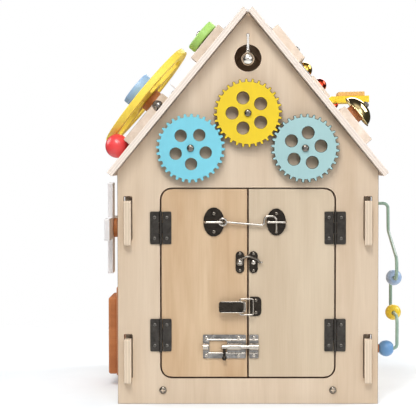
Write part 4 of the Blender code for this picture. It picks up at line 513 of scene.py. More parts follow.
def paint(name, colour, roughness=0.42, coat=0.15, fibre=1.0, grain=2, burnt=None):
    """Thin paint on wood: a little unevenness, with the fibres just showing; edges may be darkened, partly as
    laser browning and partly as painted shade.
    """
    tree = new_material(name)
    fibres = tree.noise(tree.coordinates(along(grain, 500, 30)), 1.0, 3.0)
    cloud = tree.noise(tree.coordinates(), 45.0, 3.0)
    base = tree.ramp(cloud, ((0.3, shade(colour, 0.95)), (0.7, shade(colour, 1.03))))
    base = tree.mix(0.35 * fibre, base, tree.ramp(fibres, ((0.3, shade(colour, 0.82)), (0.65, colour))))
    # Dark edges: partly the browning a laser leaves, partly painted shade that darkens the gaps between the
    # teeth
    if burnt:
        base = tree.mix(facing(tree, 2, limit=0.985), burnt, base)
    rough = tree.ramp(cloud, ((0.2, grey(roughness + 0.06)), (0.8, grey(roughness - 0.04))))
    tree.bump(fibres, 0.18 * fibre, 0.00015)
    return tree.finish(base, Roughness=rough, Coat_Weight=coat, Coat_Roughness=0.25)


def metal(name, colour, roughness, grit, wear, stretch, bump):
    """Plated or pressed metal with faint smears and a worn, uneven gloss."""
    tree = new_material(name)
    place = tree.coordinates((1, 1, stretch))
    smear = tree.noise(place, grit, 4.0, 0.4)
    speck = tree.noise(place, grit * 14, 2.0)
    base = tree.ramp(smear, ((0.3, shade(colour, 1 - wear)), (0.72, shade(colour, 1 + wear / 2))))
    rough = tree.ramp(smear, ((0.25, grey(roughness * 1.35)), (0.75, grey(roughness * 0.8))))
    tree.bump(speck, bump, 0.0001)
    return tree.finish(base, Roughness=rough, Metallic=1.0)


def thread(name, colour):
    """Twisted cord."""
    tree = new_material(name)
    wave = tree.add("ShaderNodeTexWave", {"Vector": tree.coordinates(), "Scale": 900.0},
                    wave_type="BANDS", bands_direction="DIAGONAL")
    twist = wave.outputs["Fac"]
    base = tree.ramp(twist, ((0.0, shade(colour, 0.86)), (0.7, colour)))
    tree.bump(twist, 0.5, 0.0003)
    return tree.finish(base, Roughness=0.85, Sheen_Weight=0.3)


# Wood tones are (pale, deep)
BIRCH = (rgb(218, 199, 176), rgb(199, 175, 148))
WARM = (rgb(211, 184, 151), rgb(186, 150, 112))
LIGHT = (rgb(210, 192, 167), rgb(192, 170, 143))
ROOF = (rgb(236, 222, 209), rgb(216, 199, 186))
ROOF_BLOCK = (ROOF[0], LIGHT[1])
BROWN = (rgb(206, 136, 84), rgb(160, 92, 50))
TAN = (rgb(232, 190, 122), rgb(214, 165, 98))
TAN_BOARD = (rgb(206, 150, 112), rgb(176, 118, 82))
# Edge colour of laser-cut ply, dark enough to stand in for shade in the door gaps, slots and holes: partly
# real browning, partly painted shade
BURN_AND_GAP_SHADE = (1, rgb(84, 54, 38))
SLOPE_TURNS = {"left": (0, PITCH, 0), "right": (0, -PITCH, 0)}

# name: tones and settings
WOODS = {
    "front_wood": (BIRCH, dict(burnt=BURN_AND_GAP_SHADE)),
    "back_wood": (BIRCH, dict(seed=3.1, layers=(1, BACK_MIDDLE, PLY))),
    "left_wall_wood": (BIRCH, dict(seed=5.3, layers=(0, -WALL_MIDDLE, PLY))),
    "right_wall_wood": (BIRCH, dict(seed=7.7, layers=(0, WALL_MIDDLE, PLY))),
    "base_wood": (BIRCH, dict(grain=0, seed=2.2)),
    "left_door_wood": (WARM, dict(figure=1.3, seed=9.1, burnt=BURN_AND_GAP_SHADE)),
    "right_door_wood": (LIGHT, dict(figure=0.9, seed=11.3, burnt=BURN_AND_GAP_SHADE)),
    "block_wood": (BIRCH, dict(grain=1, figure=1.1, seed=1.7)),
    "brown_wood": (BROWN, dict(figure=1.2, seed=4.4)),
    "tan_wood": (TAN, dict(grain=1, seed=6.6)),
    "tan_board_wood": (TAN_BOARD, dict(grain=2, figure=1.1, seed=8.8)),
    "left_block_wood": (ROOF_BLOCK, dict(turn=SLOPE_TURNS["left"], grain=1, figure=1.1, seed=1.7)),
    "right_block_wood": (ROOF_BLOCK, dict(turn=SLOPE_TURNS["right"], grain=1, figure=1.1, seed=2.9)),
}
for side_name, side_turn in SLOPE_TURNS.items():
    settings = dict(turn=side_turn, grain=1, seed=13.1 + len(side_name), layers=(2, ROOF_MIDDLE, ROOF_PLY))
    WOODS[side_name + "_roof_wood"] = (ROOF, settings)

# name: colour, roughness, clear coat, strength of the fibres, grain axis, colour of the dark edges (laser
# browning, and painted shade in the tooth gaps)
PAINTS = {
    "yellow_gear_paint": ((229, 196, 30), 0.42, 0.15, 0.4, 1, rgb(84, 58, 14)),
    "cyan_paint": ((120, 198, 214), 0.42, 0.15, 0.4, 1, rgb(34, 44, 42)),
    "teal_paint": ((160, 194, 194), 0.42, 0.15, 0.4, 1, rgb(34, 44, 40)),
    "grey_strip": ((150, 150, 152), 0.5, 0.1, 0.6, 1),
    "wheel_paint": ((250, 220, 84), 0.5, 0.0, 0.35, 0),
    "yellow_paint": ((246, 213, 48), 0.42, 0.15, 1.0, 2),
    "green_paint": ((166, 210, 108), 0.42, 0.15, 0.4, 0),
    "blue_paint": ((156, 190, 226), 0.42, 0.15, 0.4, 0),
    "white_paint": ((248, 247, 249), 0.42, 0.15, 0.4, 0),
    "red_paint": ((236, 68, 70), 0.34, 0.4, 0.3, 2),
    "pale_blue_bead": ((160, 184, 216), 0.35, 0.3, 0.5, 2),
    "yellow_bead": ((238, 202, 48), 0.35, 0.3, 0.5, 2),
    "deep_blue_bead": ((100, 150, 200), 0.35, 0.3, 0.5, 2),
    "wire_paint": ((140, 168, 150), 0.35, 0.4, 0.2, 2),
}

# name: colour, roughness, scale of the smears, wear, stretch of the smears upwards, strength of the grit
METALS = {
    "nickel": ((196, 188, 178), 0.15, 90.0, 0.3, 1, 0.06),
    "steel": ((146, 142, 138), 0.26, 130.0, 0.5, 3, 0.06),
    "gunmetal": ((70, 62, 55), 0.34, 70.0, 0.3, 1, 0.06),
    "hinge_steel": ((76, 72, 68), 0.36, 160.0, 0.4, 1, 0.2),
    "black_plate": ((66, 60, 54), 0.24, 160.0, 0.5, 1, 0.25),
    "dark_steel": ((128, 120, 110), 0.16, 60.0, 0.2, 1, 0.06),
    "dull_steel": ((120, 116, 110), 0.35, 80.0, 0.25, 1, 0.06),
    "bell_metal": ((224, 200, 144), 0.07, 50.0, 0.1, 1, 0.02),
    "chrome": ((228, 222, 212), 0.08, 40.0, 0.08, 1, 0.01),
    "gold": ((226, 180, 84), 0.14, 50.0, 0.1, 1, 0.02),
    "red_metal": ((196, 66, 40), 0.16, 50.0, 0.1, 1, 0.02),
    "socket_dark": ((40, 38, 36), 0.5, 60.0, 0.15, 1, 0.06),
}

FINISHES = {"cord_thread": thread("cord_thread", rgb(250, 248, 244))}
for name, (tones, settings) in WOODS.items():
    FINISHES[name] = wood(name, tones, **settings)
for name, (colour, *settings) in PAINTS.items():
    FINISHES[name] = paint(name, rgb(*colour), *settings)
for name, (colour, *settings) in METALS.items():
    FINISHES[name] = metal(name, rgb(*colour), *settings)


# Shared fittings

def bored(name, outer, inner, low, high, finish, matrix, sides=ROUND, ease=EDGE / 2):
    """A ring with a bore and eased rims, along local z; a bore of 0 makes a solid disc."""
    profile = [(inner, low), (outer - ease, low), (outer, low + ease), (outer, high - ease),
               (outer - ease, high), (inner, high)]
    return turned(name, profile, finish, matrix, sides)


def ball(name, radius, finish, matrix, sides=24, reach=80, steps=12):
    profile = [(0, -radius)] + arc(radius, -reach, reach, steps) + [(0, radius)]
    return turned(name, profile, finish, matrix, sides, 60)


def cross_screw(name, radius, height, finish, matrix, sides=SMALL_ROUND):
    """Low domed head with a cross recess."""
    rim, crown = height * 0.25, height * 1.25
    profile = [(0, 0), (radius, 0)] + domed(radius, height, low=rim)[:-1] + [(0, crown)]
    head = turned(name, profile, finish, matrix, sides)
    reach, half = radius * 0.55, radius * 0.13
    outline = [(half, half), (half, reach), (-half, reach), (-half, half), (-reach, half), (-reach, -half),
               (-half, -half), (-half, -reach), (half, -reach), (half, -half), (reach, -half), (reach, half)]
    cross = plate("cross", outline, [], height * 0.45, height * 2, "socket_dark", matrix, 0)
    return combine(head, cross, "DIFFERENCE")


def socket_bolt(name, radius, height, finish, matrix):
    """Button head with a hexagon socket."""
    profile = [(0, 0)] + domed(radius, height * 0.75, low=height * 0.25)[:-1] + [(0, height)]
    head = turned(name, profile, finish, matrix, SMALL_ROUND)
    hexagon = circle(SOCKET_RADIUS, 6)
    socket = plate("socket", hexagon, [], height - SOCKET_DEPTH, height * 2, "socket_dark", matrix, 0)
    return combine(head, socket, "DIFFERENCE")


def dome_nut(name, radius, height, finish, matrix):
    """Hexagon nut with a domed top."""
    base, crown_radius = height * 0.55, radius * 0.78
    nut = plate(name, circle(radius, 6), [], 0, base, finish, matrix, 0.0003)
    profile = [(0, base / 2), (crown_radius, base / 2)] + domed(crown_radius, height - base, low=base)
    return combine(nut, turned("crown", profile, finish, matrix, SMALL_ROUND))


# Gears and the bell in the gable

def gear_outline(phase):
    tip, root = GEAR_PITCH_RADIUS + GEAR_ADDENDUM, GEAR_PITCH_RADIUS - GEAR_DEDENDUM
    flank = ((root, -GEAR_ROOT_HALF), (tip, -GEAR_TIP_HALF), (tip, GEAR_TIP_HALF), (root, GEAR_ROOT_HALF))
    points = []
    for tooth in range(GEAR_TEETH):
        middle = phase + 2 * math.pi * tooth / GEAR_TEETH
        points += [polar(radius, middle + half / radius) for radius, half in flank]
    return points


def make_gears():
    """Each outer gear is turned so that its teeth stand in the gaps of the yellow one."""
    pitch = 2 * math.pi / GEAR_TEETH
    lead_phase = pitch / 4
    places = {}
    for name in GEARS:
        low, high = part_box(name)
        places[name] = ((low.x + high.x) / 2, (low.z + high.z) / 2, high.y)
    lead_x, lead_z, _ = places["yellow_gear"]
    for name, (x, z, rear) in places.items():
        phase = lead_phase
        if name != "yellow_gear":
            bearing = math.atan2(z - lead_z, x - lead_x)
            phase = bearing + math.pi + (bearing - lead_phase) + pitch / 2
        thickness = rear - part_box(name)[0].y
        first_hole, finish = GEARS[name]
        holes = [circle(AXLE_HOLE, SMALL_ROUND)]
        for i in range(GEAR_HOLES):
            angle = math.radians(first_hole) + 2 * math.pi * i / GEAR_HOLES
            holes.append(circle(GEAR_HOLE_RADIUS, 40, polar(GEAR_HOLE_CIRCLE, angle)))
        stand_for(plate(name + "_wheel", gear_outline(phase), holes, 0, thickness, finish,
                        forward(x, rear, z), 0.0006, 3), name)
        bolt = name + "_bolt"
        seat = rear - thickness - GAP
        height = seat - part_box(bolt)[0].y + HEAD_COVER
        place = forward(x, seat, z)
        add_to(socket_bolt(bolt + "_head", COVERED_RADIUS, height, "dark_steel", place), bolt)


def make_hanging_bell():
    """Crotal shell with a band round its middle and a sound slot below, hung by a loop."""
    low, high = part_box("hanging_bell")
    x, y = (low.x + high.x) / 2, (low.y + high.y) / 2
    radius = (high.x - low.x) / 2
    place = shift(x, y, low.z + radius)
    band_angle, outside_band, steps = 0.16, 0.975, 20
    profile = [(0, -radius)]
    for i in range(1, steps):
        angle = -math.pi / 2 + math.pi * i / steps
        swell = 1.0 if abs(angle) < band_angle else outside_band
        profile.append((radius * swell * math.cos(angle), radius * math.sin(angle)))
    profile.append((0, radius))
    shell = turned("crotal_shell", profile, "chrome", place, 48, 25)
    slot_half, slot_reach = 0.0006, radius * 0.72
    slot = rectangle(-slot_reach, slot_reach, -slot_half, slot_half)
    groove = plate("slot", slot, [], -radius * 1.1, -radius * 0.45, "socket_dark", place, 0)
    combine(shell, groove, "DIFFERENCE")
    wire, loop_radius = 0.0006, 0.0014
    loop_z = high.z - loop_radius - wire
    ring = [(x + across, y, loop_z + up) for across, up in circle(loop_radius, 24)]
    stand_for([shell, tube("crotal_loop", ring, wire, "chrome", True)], "hanging_bell")


def make_bell_cord():
    """Two twisted strands, with the cord's bend and its way through the hole in the gable."""
    low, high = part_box("bell_cord")
    x, y = (low.x + high.x) / 2, (low.y + high.y) / 2
    strand, lay, pitch, steps = 0.00075, 0.0007, 0.0052, 48
    length = high.z - low.z
    strands = []
    for number in range(2):
        points = []
        for i in range(steps + 1):
            drop = length * i / steps
            across, out = polar(lay, math.pi * number + 2 * math.pi * drop / pitch)
            points.append((x + across, y + out, high.z - drop))
        strands.append(tube(f"cord_strand_{number}", points, strand, "cord_thread"))
    stand_for(strands, "bell_cord")
    top, radius = (x, y, high.z), 0.0015
    bend = ball("cord_bend", radius, "cord_thread", Matrix.Translation(top))
    inwards = basis(top, (1, 0, 0), (0, 0, -1))
    through = bored("cord_through_hole", radius, 0, 0, PLY, "cord_thread", inwards, 24)
    for piece in (bend, through):
        add_to(piece, "front_panel")


# Roof: fine boards and what turns on them

def board_on(node, side, start, end, top, finish, ease=0.0010, front=BOARD_Y, length=BOARD_LENGTH, name=None):
    near, far = sorted((side * front, side * (front + length)))
    board = plate(name or node + "_wood", rectangle(start, end, near, far), [], GAP, top, finish,
                  slope(side), ease)
    stand_for(board, node)
    return board


def make_left_roof():
    board_on("left_ridge_board", LEFT, *RIDGE_BOARD, BOARD_TOP, "left_block_wood")
    place = on_slope(LEFT, DISC_S, DISC_Y)
    low, high = 0.0148, 0.0246
    washer = bored("disc_washer", 0.0070, SPACER_HOLE, BOARD_TOP, BOARD_TOP + 0.0022, "steel", place)
    stand_for(washer, "left_ridge_board")
    stand_for(bored("green_disc_wood", 0.0202, AXLE_HOLE, low, high, "green_paint", place, 96, 0.0012),
              "green_disc")
    bolt = socket_bolt("disc_bolt", HEAD_RADIUS, HEAD_HEIGHT, "nickel", place @ shift(0, 0, high + GAP))
    stand_for(bolt, "left_ridge_board")
    board_on("white_block", LEFT, RIDGE_BOARD[1] + GAP, 0.1205, GAP + 0.0110, "white_paint", 0.0012)
    make_wheel_board()
    make_wheel()
    radius, clearance = 0.0142, 0.0006
    place = on_slope(LEFT, BALL_S, BALL_Y, clearance + radius)
    red = ball("red_ball_wood", radius, "red_paint", place, ROUND, 85, 34)
    stem = bored("red_ball_stem", 0.0040, 0, -0.0246, -0.0120, "block_wood", place, SMALL_ROUND)
    stand_for([red, stem], "red_ball")


def make_wheel_board():
    """The board under the wheel, with a scoop round the red ball and a nut sunk in its front end."""
    board = board_on("wheel_board", LEFT, 0.1345, 0.2050, BOARD_TOP, "left_block_wood")
    drill(board, 0.0148, -0.002, BOARD_TOP + 0.003, on_slope(LEFT, BALL_S, BALL_Y))
    front_end = slope(LEFT) @ basis((0.1486, LEFT * BOARD_Y, GAP + BOARD / 2), (1, 0, 0), (0, 0, -1))
    sunk = -0.0045
    drill(board, 0.0055, sunk, 0.002, front_end)
    stand_for(dome_nut("end_nut", 0.0050, 0.0050, "steel", front_end @ shift(0, 0, sunk)), "wheel_board")
    hub = bored("wheel_hub", 0.0139, SPACER_HOLE, BOARD_TOP, 0.0247, "brown_wood",
                on_slope(LEFT, WHEEL_S, WHEEL_Y))
    stand_for(hub, "wheel_board")


def make_wheel():
    place = on_slope(LEFT, WHEEL_S, WHEEL_Y)
    radius, rim, low, high, spokes = 0.0725, 0.0130, 0.0250, 0.0336, 3
    sweep = 2 * math.pi / spokes
    windows = [wheel_window(math.pi / 2 + sweep * i, sweep, radius - rim) for i in range(spokes)]
    wheel = plate("steering_wheel_wood", circle(radius, 160), windows + [circle(AXLE_HOLE, SMALL_ROUND)],
                  low, high, "wheel_paint", place, 0.0012, 3)
    stand_for(wheel, "steering_wheel")
    foot, seat, shoulder, top = 0.0339, 0.0371, 0.0373, 0.0473
    profile = [(0, shoulder), (0.0048, shoulder), (0.0048, foot), (0.0110, foot), (0.0110, seat),
               (0.0201, seat), (0.0210, 0.0375), (0.0213, 0.0384), (0.0213, 0.0460), (0.0210, 0.0469),
               (0.0201, top), (0, top)]
    stand_for(turned("wheel_cap_wood", profile, "blue_paint", place, 96), "wheel_cap")


def wheel_window(start, sweep, outer, inner=0.0220, half_spoke=0.0075):
    """Opening between two spokes, with rounded corners."""
    ring = []
    for radius, steps, way in ((outer, 20, 1), (inner, 8, -1)):
        ease = math.asin(half_spoke / radius)
        angles = [start + ease + (sweep - 2 * ease) * i / steps for i in range(steps + 1)]
        ring += [polar(radius, angle) for angle in angles[::way]]
    return rounded(ring, 0.0045)


def rounded(loop, radius, steps=4):
    """Replaces the sharp corners of a loop by curves that start this far from the corner."""
    points = []
    for i, point in enumerate(loop):
        here = Vector(point)
        back, ahead = Vector(loop[i - 1]) - here, Vector(loop[(i + 1) % len(loop)]) - here
        if back.angle(ahead) > math.radians(150):
            points.append(point)
            continue
        start = here + back.normalized() * min(radius, back.length * 0.95)
        end = here + ahead.normalized() * min(radius, ahead.length * 0.95)
        for step in range(steps + 1):
            t = step / steps
            spot = start * (1 - t) ** 2 + here * 2 * t * (1 - t) + end * t ** 2
            points.append((spot.x, spot.y))
    return points


def make_right_roof():
    board_on("right_ridge_board", RIGHT, *RIDGE_BOARD, BOARD_TOP, "right_block_wood")
    place = on_slope(RIGHT, 0.0669, 0.040, BOARD_TOP)
    stand_for(cross_screw("ridge_board_screw", 0.0036, 0.0020, "steel", place), "right_ridge_board")
    step = 0.1030  # where the thin board drops to its grey strip
    board_on("thin_board", RIGHT, step, 0.1345, 0.0064, "right_block_wood", 0.0006)
    board_on("thin_board", RIGHT, 0.0817, step, 0.0043, "grey_strip", 0.0005, name="thin_strip")
    # node, s, radius, height, base above the roof, finish
    domes = (("gold_dome", 0.0911, 0.0092, 0.0094, 0.0046, "gold"),
             ("red_dome", 0.1167, 0.0083, 0.0085, 0.0067, "red_metal"))
    for node, s, radius, height, base, finish in domes:
        profile = [(0, 0), (radius, 0)] + domed(radius, height, 16)[1:]
        stand_for(turned(node + "_cap", profile, finish, on_slope(RIGHT, s, DOME_Y, base), 48, 50), node)
    board_on("bell_board", RIGHT, 0.1543, 0.2045, BOARD_TOP, "right_block_wood", length=0.090)
    place = on_slope(RIGHT, BELL_S, BELL_Y)
    stand_for(bored("bell_post", 0.0109, 0.0022, BOARD_TOP, 0.0258, "brown_wood", place), "bell_board")
    make_roof_bell(place)
    make_flap()


def make_roof_bell(place):
    """Thin open shell with a lip round its rim, its nut and its bolt's shank."""
    outer, wall, rim, rise, hole, steps = 0.0203, 0.0012, 0.0231, 0.0148, 0.0024, 20
    lip, lip_height, lip_top = 0.0014, 0.0008, 0.0014
    inner, crown = outer - wall, rim + rise
    angles = [math.pi / 2 * i / steps for i in range(1, steps)]
    shell = [(outer + lip, rim), (outer + lip, rim + lip_height), (outer + 0.0002, rim + lip_top)]
    shell += [(outer * math.cos(a), rim + rise * math.sin(a)) for a in angles if rise * math.sin(a) > 0.0016]
    shell += [(hole, crown), (hole, crown - wall)]
    shell += [(inner * math.cos(a), rim + (rise - wall) * math.sin(a)) for a in angles[::-1]]
    shell += [(inner, rim)]
    bell = turned("bell_shell", shell, "bell_metal", place, 96, 50)
    nut = dome_nut("bell_nut", 0.0038, 0.0036, "steel", place @ shift(0, 0, crown))
    shank = bored("bell_shank", 0.0019, 0, 0.0172, crown, "steel", place, SMALL_ROUND)
    stand_for([bell, nut, shank], "roof_bell")


def make_flap():
    """Yellow flap, opened as in the photo, on a pin between two ears of its base."""
    top = GAP + 0.0085
    board_on("flap_base", RIGHT, 0.1348, 0.1534, top, "yellow_paint", 0.0008, 0.117, 0.073)
    half, axis_s, front, width, ear = 0.0040, 0.1398, 0.1316, 0.0530, 0.0045
    axis_h = top + GAP + half
    lows = (front - GAP - ear, front + width + GAP)
    foot = top - half - axis_h
    arch = [(half, foot)] + arc(half, 0, 180, 16) + [(-half, foot)]
    for number, low_y in enumerate(lows):
        place = slope(RIGHT) @ forward(axis_s, low_y + ear, axis_h)
        stand_for(plate(f"flap_ear_{number}", arch, [], 0, ear, "yellow_paint", place, 0.0004), "flap_base")
    line = slope(RIGHT) @ forward(axis_s, lows[1] + ear / 2, axis_h)
    pin = bored("flap_pin", 0.0012, 0, 0, lows[1] - lows[0], "gunmetal", line, SMALL_ROUND, 0.0002)
    profile = [(0, -0.0005), (0.0030, -0.0005)] + domed(0.0030, 0.0060, 10)[1:]
    stud = turned("red_stud", profile, "red_metal", on_slope(RIGHT, 0.1480, 0.1215, top), SMALL_ROUND, 50)
    stand_for([pin, stud], "flap_base")
    photo_angle = 52.0
    opened = Matrix.Rotation(-math.radians(photo_angle), 4, "Y")
    place = slope(RIGHT) @ shift(axis_s, front + width, axis_h) @ opened @ forward(0, 0, 0)
    reach = 0.0460
    outline = arc(half, 90, 270, 20) + [(reach, -half), (reach, half)]
    flap = plate("flap_wood", outline, [circle(0.0015, 24)], 0, width, "yellow_paint", place, 0.0008, 3)
    bar_outline = rectangle(0.008, 0.041, half - 0.0002, half + 0.0056)
    bar = plate("flap_bar", bar_outline, [], 0.0045, 0.0485, "tan_wood", place, 0.0012, 3)
    stand_for([flap, bar], "yellow_flap")


# Walls

def make_left_wall():
    """Four-armed windmill on its spacer, and a brown block on a brown board."""
    axle = outward(LEFT, 0.150, 0.196)
    reach, half, corner = 0.0568, 0.0267 / 2, 0.0020
    low, high = 0.0268, 0.0333
    arm = [(half, half)] + arc(corner, 0, 90, 6, (half - corner, reach - corner))
    arm += arc(corner, 90, 180, 6, (-half + corner, reach - corner))
    outline = []
    for quarter in range(4):
        c, s = math.cos(quarter * math.pi / 2), math.sin(quarter * math.pi / 2)
        outline += [(x * c - y * s, x * s + y * c) for x, y in arm]
    sails = plate("windmill_cross", outline, [circle(AXLE_HOLE, SMALL_ROUND)], low, high, "white_paint",
                  axle, 0.0008, 3)
    stand_for(sails, "windmill_sails")
    sleeve = bored("windmill_spacer", 0.0119, SPACER_HOLE, 0.0, low - GAP + 0.0001, "brown_wood", axle)
    add_to(sleeve, "left_side_panel")
    head = socket_bolt("windmill_bolt_head", COVERED_RADIUS, HEAD_HEIGHT + HEAD_COVER, "nickel",
                       axle @ shift(0, 0, high + GAP))
    add_to(head, "windmill_bolt")
    face = outward(LEFT, 0, 0)
    board = plate("wall_board", rectangle(-0.190, -0.112, 0.015, 0.124, 0.0015), [], GAP, 0.0204,
                  "tan_board_wood", face, 0.0010)
    block = plate("wall_board_block", rectangle(-0.182, -0.120, 0.0152, 0.111, 0.003), [], 0.0200, 0.0312,
                  "brown_wood", face, 0.0035, 5)
    stand_for([board, block], "wall_block")


def make_bead(node, place, finish):
    radius, hole = 0.0096, 0.0026
    limit = math.degrees(math.asin(BEAD_HALF / radius))
    profile = [(hole, -BEAD_HALF)] + arc(radius, -limit, limit, 20) + [(hole, BEAD_HALF)]
    stand_for(turned(node + "_wood", profile, finish, place, 48, 30), node)


def make_right_wall():
    """Bent wire that leaves the wall at its top and comes back to a dowel, with three beads."""
    plane = WALL + 0.0360
    wall, dowel = WALL - 0.005, 0.0142
    top_y, top_z, foot_y, foot_z = 0.168, 0.226, 0.054, 0.0565
    front_y, upper_z, lower_z, turn_y = 0.060, 0.138, 0.0947, 0.131
    corners = [(wall, top_y, top_z), (plane, top_y, top_z), (plane, 0.164, 0.192), (plane, front_y, 0.163),
               (plane, front_y, upper_z), (plane, turn_y, upper_z), (plane, turn_y, lower_z),
               (plane, foot_y, lower_z), (plane, foot_y, foot_z), (wall, foot_y, foot_z)]
    bends = [0.006, 0.010, 0.010, 0.012, 0.010, 0.010, 0.010, 0.0048]
    wire = 0.0020
    stand_for(tube("bead_wire_rod", bent_path(corners, bends), wire, "wire_paint"), "bead_wire")
    sleeve = bored("wire_dowel", 0.0051, 0.0022, 0.0, dowel + 0.0001, "brown_wood",
                   outward(RIGHT, foot_y, foot_z), SMALL_ROUND)
    add_to(sleeve, "right_side_panel")
    for node, y, z, finish in (("upper_bead", 0.093, upper_z, "pale_blue_bead"),
                               ("lower_bead", 0.100, lower_z, "yellow_bead")):
        make_bead(node, basis((plane, y, z), (-1, 0, 0), (0, 0, 1)), finish)
    make_bead("foot_bead", outward(RIGHT, foot_y, foot_z, dowel + GAP + BEAD_HALF), "deep_blue_bead")


# Door hardware

def sheet_plate(name, outline, finish="black_plate", holes=()):
    """A pressed sheet on a door, its front face at PLATE_FRONT."""
    place = forward(0, PLATE_FRONT + PLATE, 0)
    return plate(name + "_sheet", outline, holes, 0, PLATE, finish, place, PLATE_EDGE, 3)


def plate_screws(node, places, finish="dark_steel", radius=PLATE_SCREW):
    for number, (x, z) in enumerate(places):
        place = forward(x, PLATE_FRONT, z)
        stand_for(cross_screw(f"{node}_screw_{number}", radius, SCREW_HEIGHT, finish, place), node)


def make_cabin_latch():
    """Two oval plates with staples, and the bent hook whose eye hangs in the left staple."""
    height, standoff, wire, rise, drop = 0.2103, 0.0077, 0.0013, 0.0096, 0.0112
    hook_x, hook_half = -0.0391, 0.01035
    out, root = PLATE_FRONT - standoff + wire, PLATE_FRONT + PLATE / 2
    # node, middle, width and height of the plate, half the staple's width
    rows = (("cabin_hook_plate", hook_x, 0.0241, 0.0333, hook_half),
            ("cabin_keeper_plate", 0.0326, 0.0223, 0.0310, 0.0109))
    for node, x, width, tall, half in rows:
        stand_for(sheet_plate(node, ellipse(width / 2, tall / 2, 72, (x, height))), node)
        plate_screws(node, [(x, height + rise), (x, height - drop)])
        corners = [(x - half, root, height), (x - half, out, height), (x + half, out, height),
                   (x + half, root, height)]
        stand_for(tube(node + "_staple", bent_path(corners, 0.0022), wire, "nickel"), node)
    pivot_x = hook_x + hook_half
    plane = (PLATE_FRONT + PLATE_FRONT - standoff + 2 * wire) / 2
    riser, arch, tip = 0.0186, height + 0.0068, 0.0326
    corners = [(pivot_x + 0.0040, plane, height), (riser, plane, height - 0.0037), (riser, plane, arch),
               (tip, plane, arch), (tip, plane, height - 0.0117)]
    rod = tube("cabin_hook_rod", bent_path(corners, (0.0034, 0.0050, 0.0050)), wire, "nickel")
    eye = [(pivot_x + x, plane, height + z) for x, z in circle(0.0040, 40)]
    stand_for([rod, tube("cabin_hook_eye", eye, 0.0014, "nickel", True)], "cabin_hook")


def make_small_latch():
    """Two capsule plates with studs, and the arched hook over them."""
    height, left, right = 0.1640, -0.0092, 0.0063
    length, stem, head = 0.0034, 0.0016, 0.0027
    for node, x in (("small_hook_plate", left), ("small_catch_plate", right)):
        stand_for(sheet_plate(node, capsule(x, height, 0.0100, 0.0253)), node)
        plate_screws(node, [(x, height + 0.0096), (x, height - 0.0096)], radius=0.0019)
        profile = [(0, 0), (stem, 0), (stem, length), (head, length)]
        profile += domed(head, 0.0014, 8, length + 0.0002)
        stud = turned(node + "_stud", profile, "nickel", forward(x, PLATE_FRONT, height), SMALL_ROUND)
        stand_for(stud, node)
    plane = PLATE_FRONT - length / 2
    wire, eye_radius, arch = 0.0013, 0.0031, height + 0.0072
    end = right + head + 2 * wire
    corners = [(left, plane, height + eye_radius), (0, plane, arch), (end, plane, height + eye_radius),
               (end + wire, plane, height), (end + 0.0045, plane, height)]
    arm = tube("small_hook_arm", bent_path(corners, (0.0072, 0.0022, 0.0022)), wire, "dark_steel")
    ring = [(left + x, plane, height + z) for x, z in circle(eye_radius, 36)]
    eye = tube("small_hook_eye", ring, wire, "dark_steel", True)
    tip = ball("small_hook_tip", 0.0014, "nickel", shift(end + 0.0042, plane, height))
    stand_for([arm, eye, tip], "small_hook")


def make_toggle_base():
    pin_x, pin_y = TOGGLE_PIN
    half, ear_half, right = 0.0050, 0.0023, pin_x + 0.0023
    outline = rectangle(right - 0.0270, right, TOGGLE_HEIGHT - half, TOGGLE_HEIGHT + half, 0.001)
    pieces = [sheet_plate("toggle_base", outline, "nickel")]
    ear = rectangle(pin_x - ear_half, pin_x + ear_half, pin_y - 0.0020, PLATE_FRONT + PLATE / 2)
    level = basis((0, 0, TOGGLE_HEIGHT), (1, 0, 0), (0, 1, 0))
    for number, way in enumerate((-1, 1)):
        low, high = sorted((way * (half - TOGGLE_SHEET), way * half))
        pieces.append(plate(f"toggle_ear_{number}", ear, [], low, high, "nickel", level, 0.0002))
    reach = LEVER_HALF + TOGGLE_SHEET / 2
    pieces.append(bored("toggle_pin", 0.0010, 0, -reach, reach, "nickel",
                        shift(pin_x, pin_y, TOGGLE_HEIGHT), 24, 0.0002))
    stand_for(pieces, "toggle_base")


def make_toggle_lever():
    """Channel lever with a dark top, bright skirts and rolled rims, and the bright wire bail in it."""
    pin_x, pin_y = TOGGLE_PIN
    height, half, sheet = TOGGLE_HEIGHT, LEVER_HALF, TOGGLE_SHEET
    left, heel, top = pin_x - 0.0288, pin_x - 0.0010, pin_y - 0.0034
    level = basis((0, 0, height), (1, 0, 0), (0, 1, 0))
    pieces = [plate("toggle_lever_top", rectangle(left, heel, -half, half, 0.0025), [], 0, sheet,
                    "black_plate", forward(0, top, height), PLATE_EDGE, 3)]
    skirt_top, skirt_foot = top - sheet / 2, top - sheet / 2 + 0.0060
    bail_x, toe, end = pin_x - 0.0045, left + 0.0025, pin_x + 0.0020
    skirt = [(toe, skirt_top), (heel, skirt_top), (end, top + 0.0017), (end, skirt_foot),
             (bail_x - 0.0025, skirt_foot), (toe, skirt_top + 0.0020)]
    holes = [circle(0.0013, 24, (pin_x, pin_y)), circle(0.0012, 24, (bail_x, pin_y))]
    lift, skirt_edge, rim_wire = 0.0001, 0.0001, 0.00035
    for number, way in enumerate((-1, 1)):
        low, high = sorted((way * (half - sheet), way * half))
        pieces.append(plate(f"toggle_skirt_{number}", skirt, holes, low, high, "nickel", level, skirt_edge))
        rim_z = height + way * (half - lift)
        rim = [(toe, skirt_top - lift, rim_z), (heel, skirt_top - lift, rim_z)]
        pieces.append(tube(f"toggle_rim_{number}", rim, rim_wire, "nickel"))
    stand_for(pieces, "toggle_lever")
    bar, wide, tuck, bend, wire = 0.0060, 0.0091, 0.0053, 0.0016, 0.0009
    corners = [(bail_x, pin_y, height + tuck), (bail_x, pin_y, height + wide), (bar, pin_y, height + wide),
               (bar, pin_y, height - wide), (bail_x, pin_y, height - wide), (bail_x, pin_y, height - tuck)]
    stand_for(tube("toggle_bail_wire", bent_path(corners, bend), wire, "nickel"), "toggle_bail")


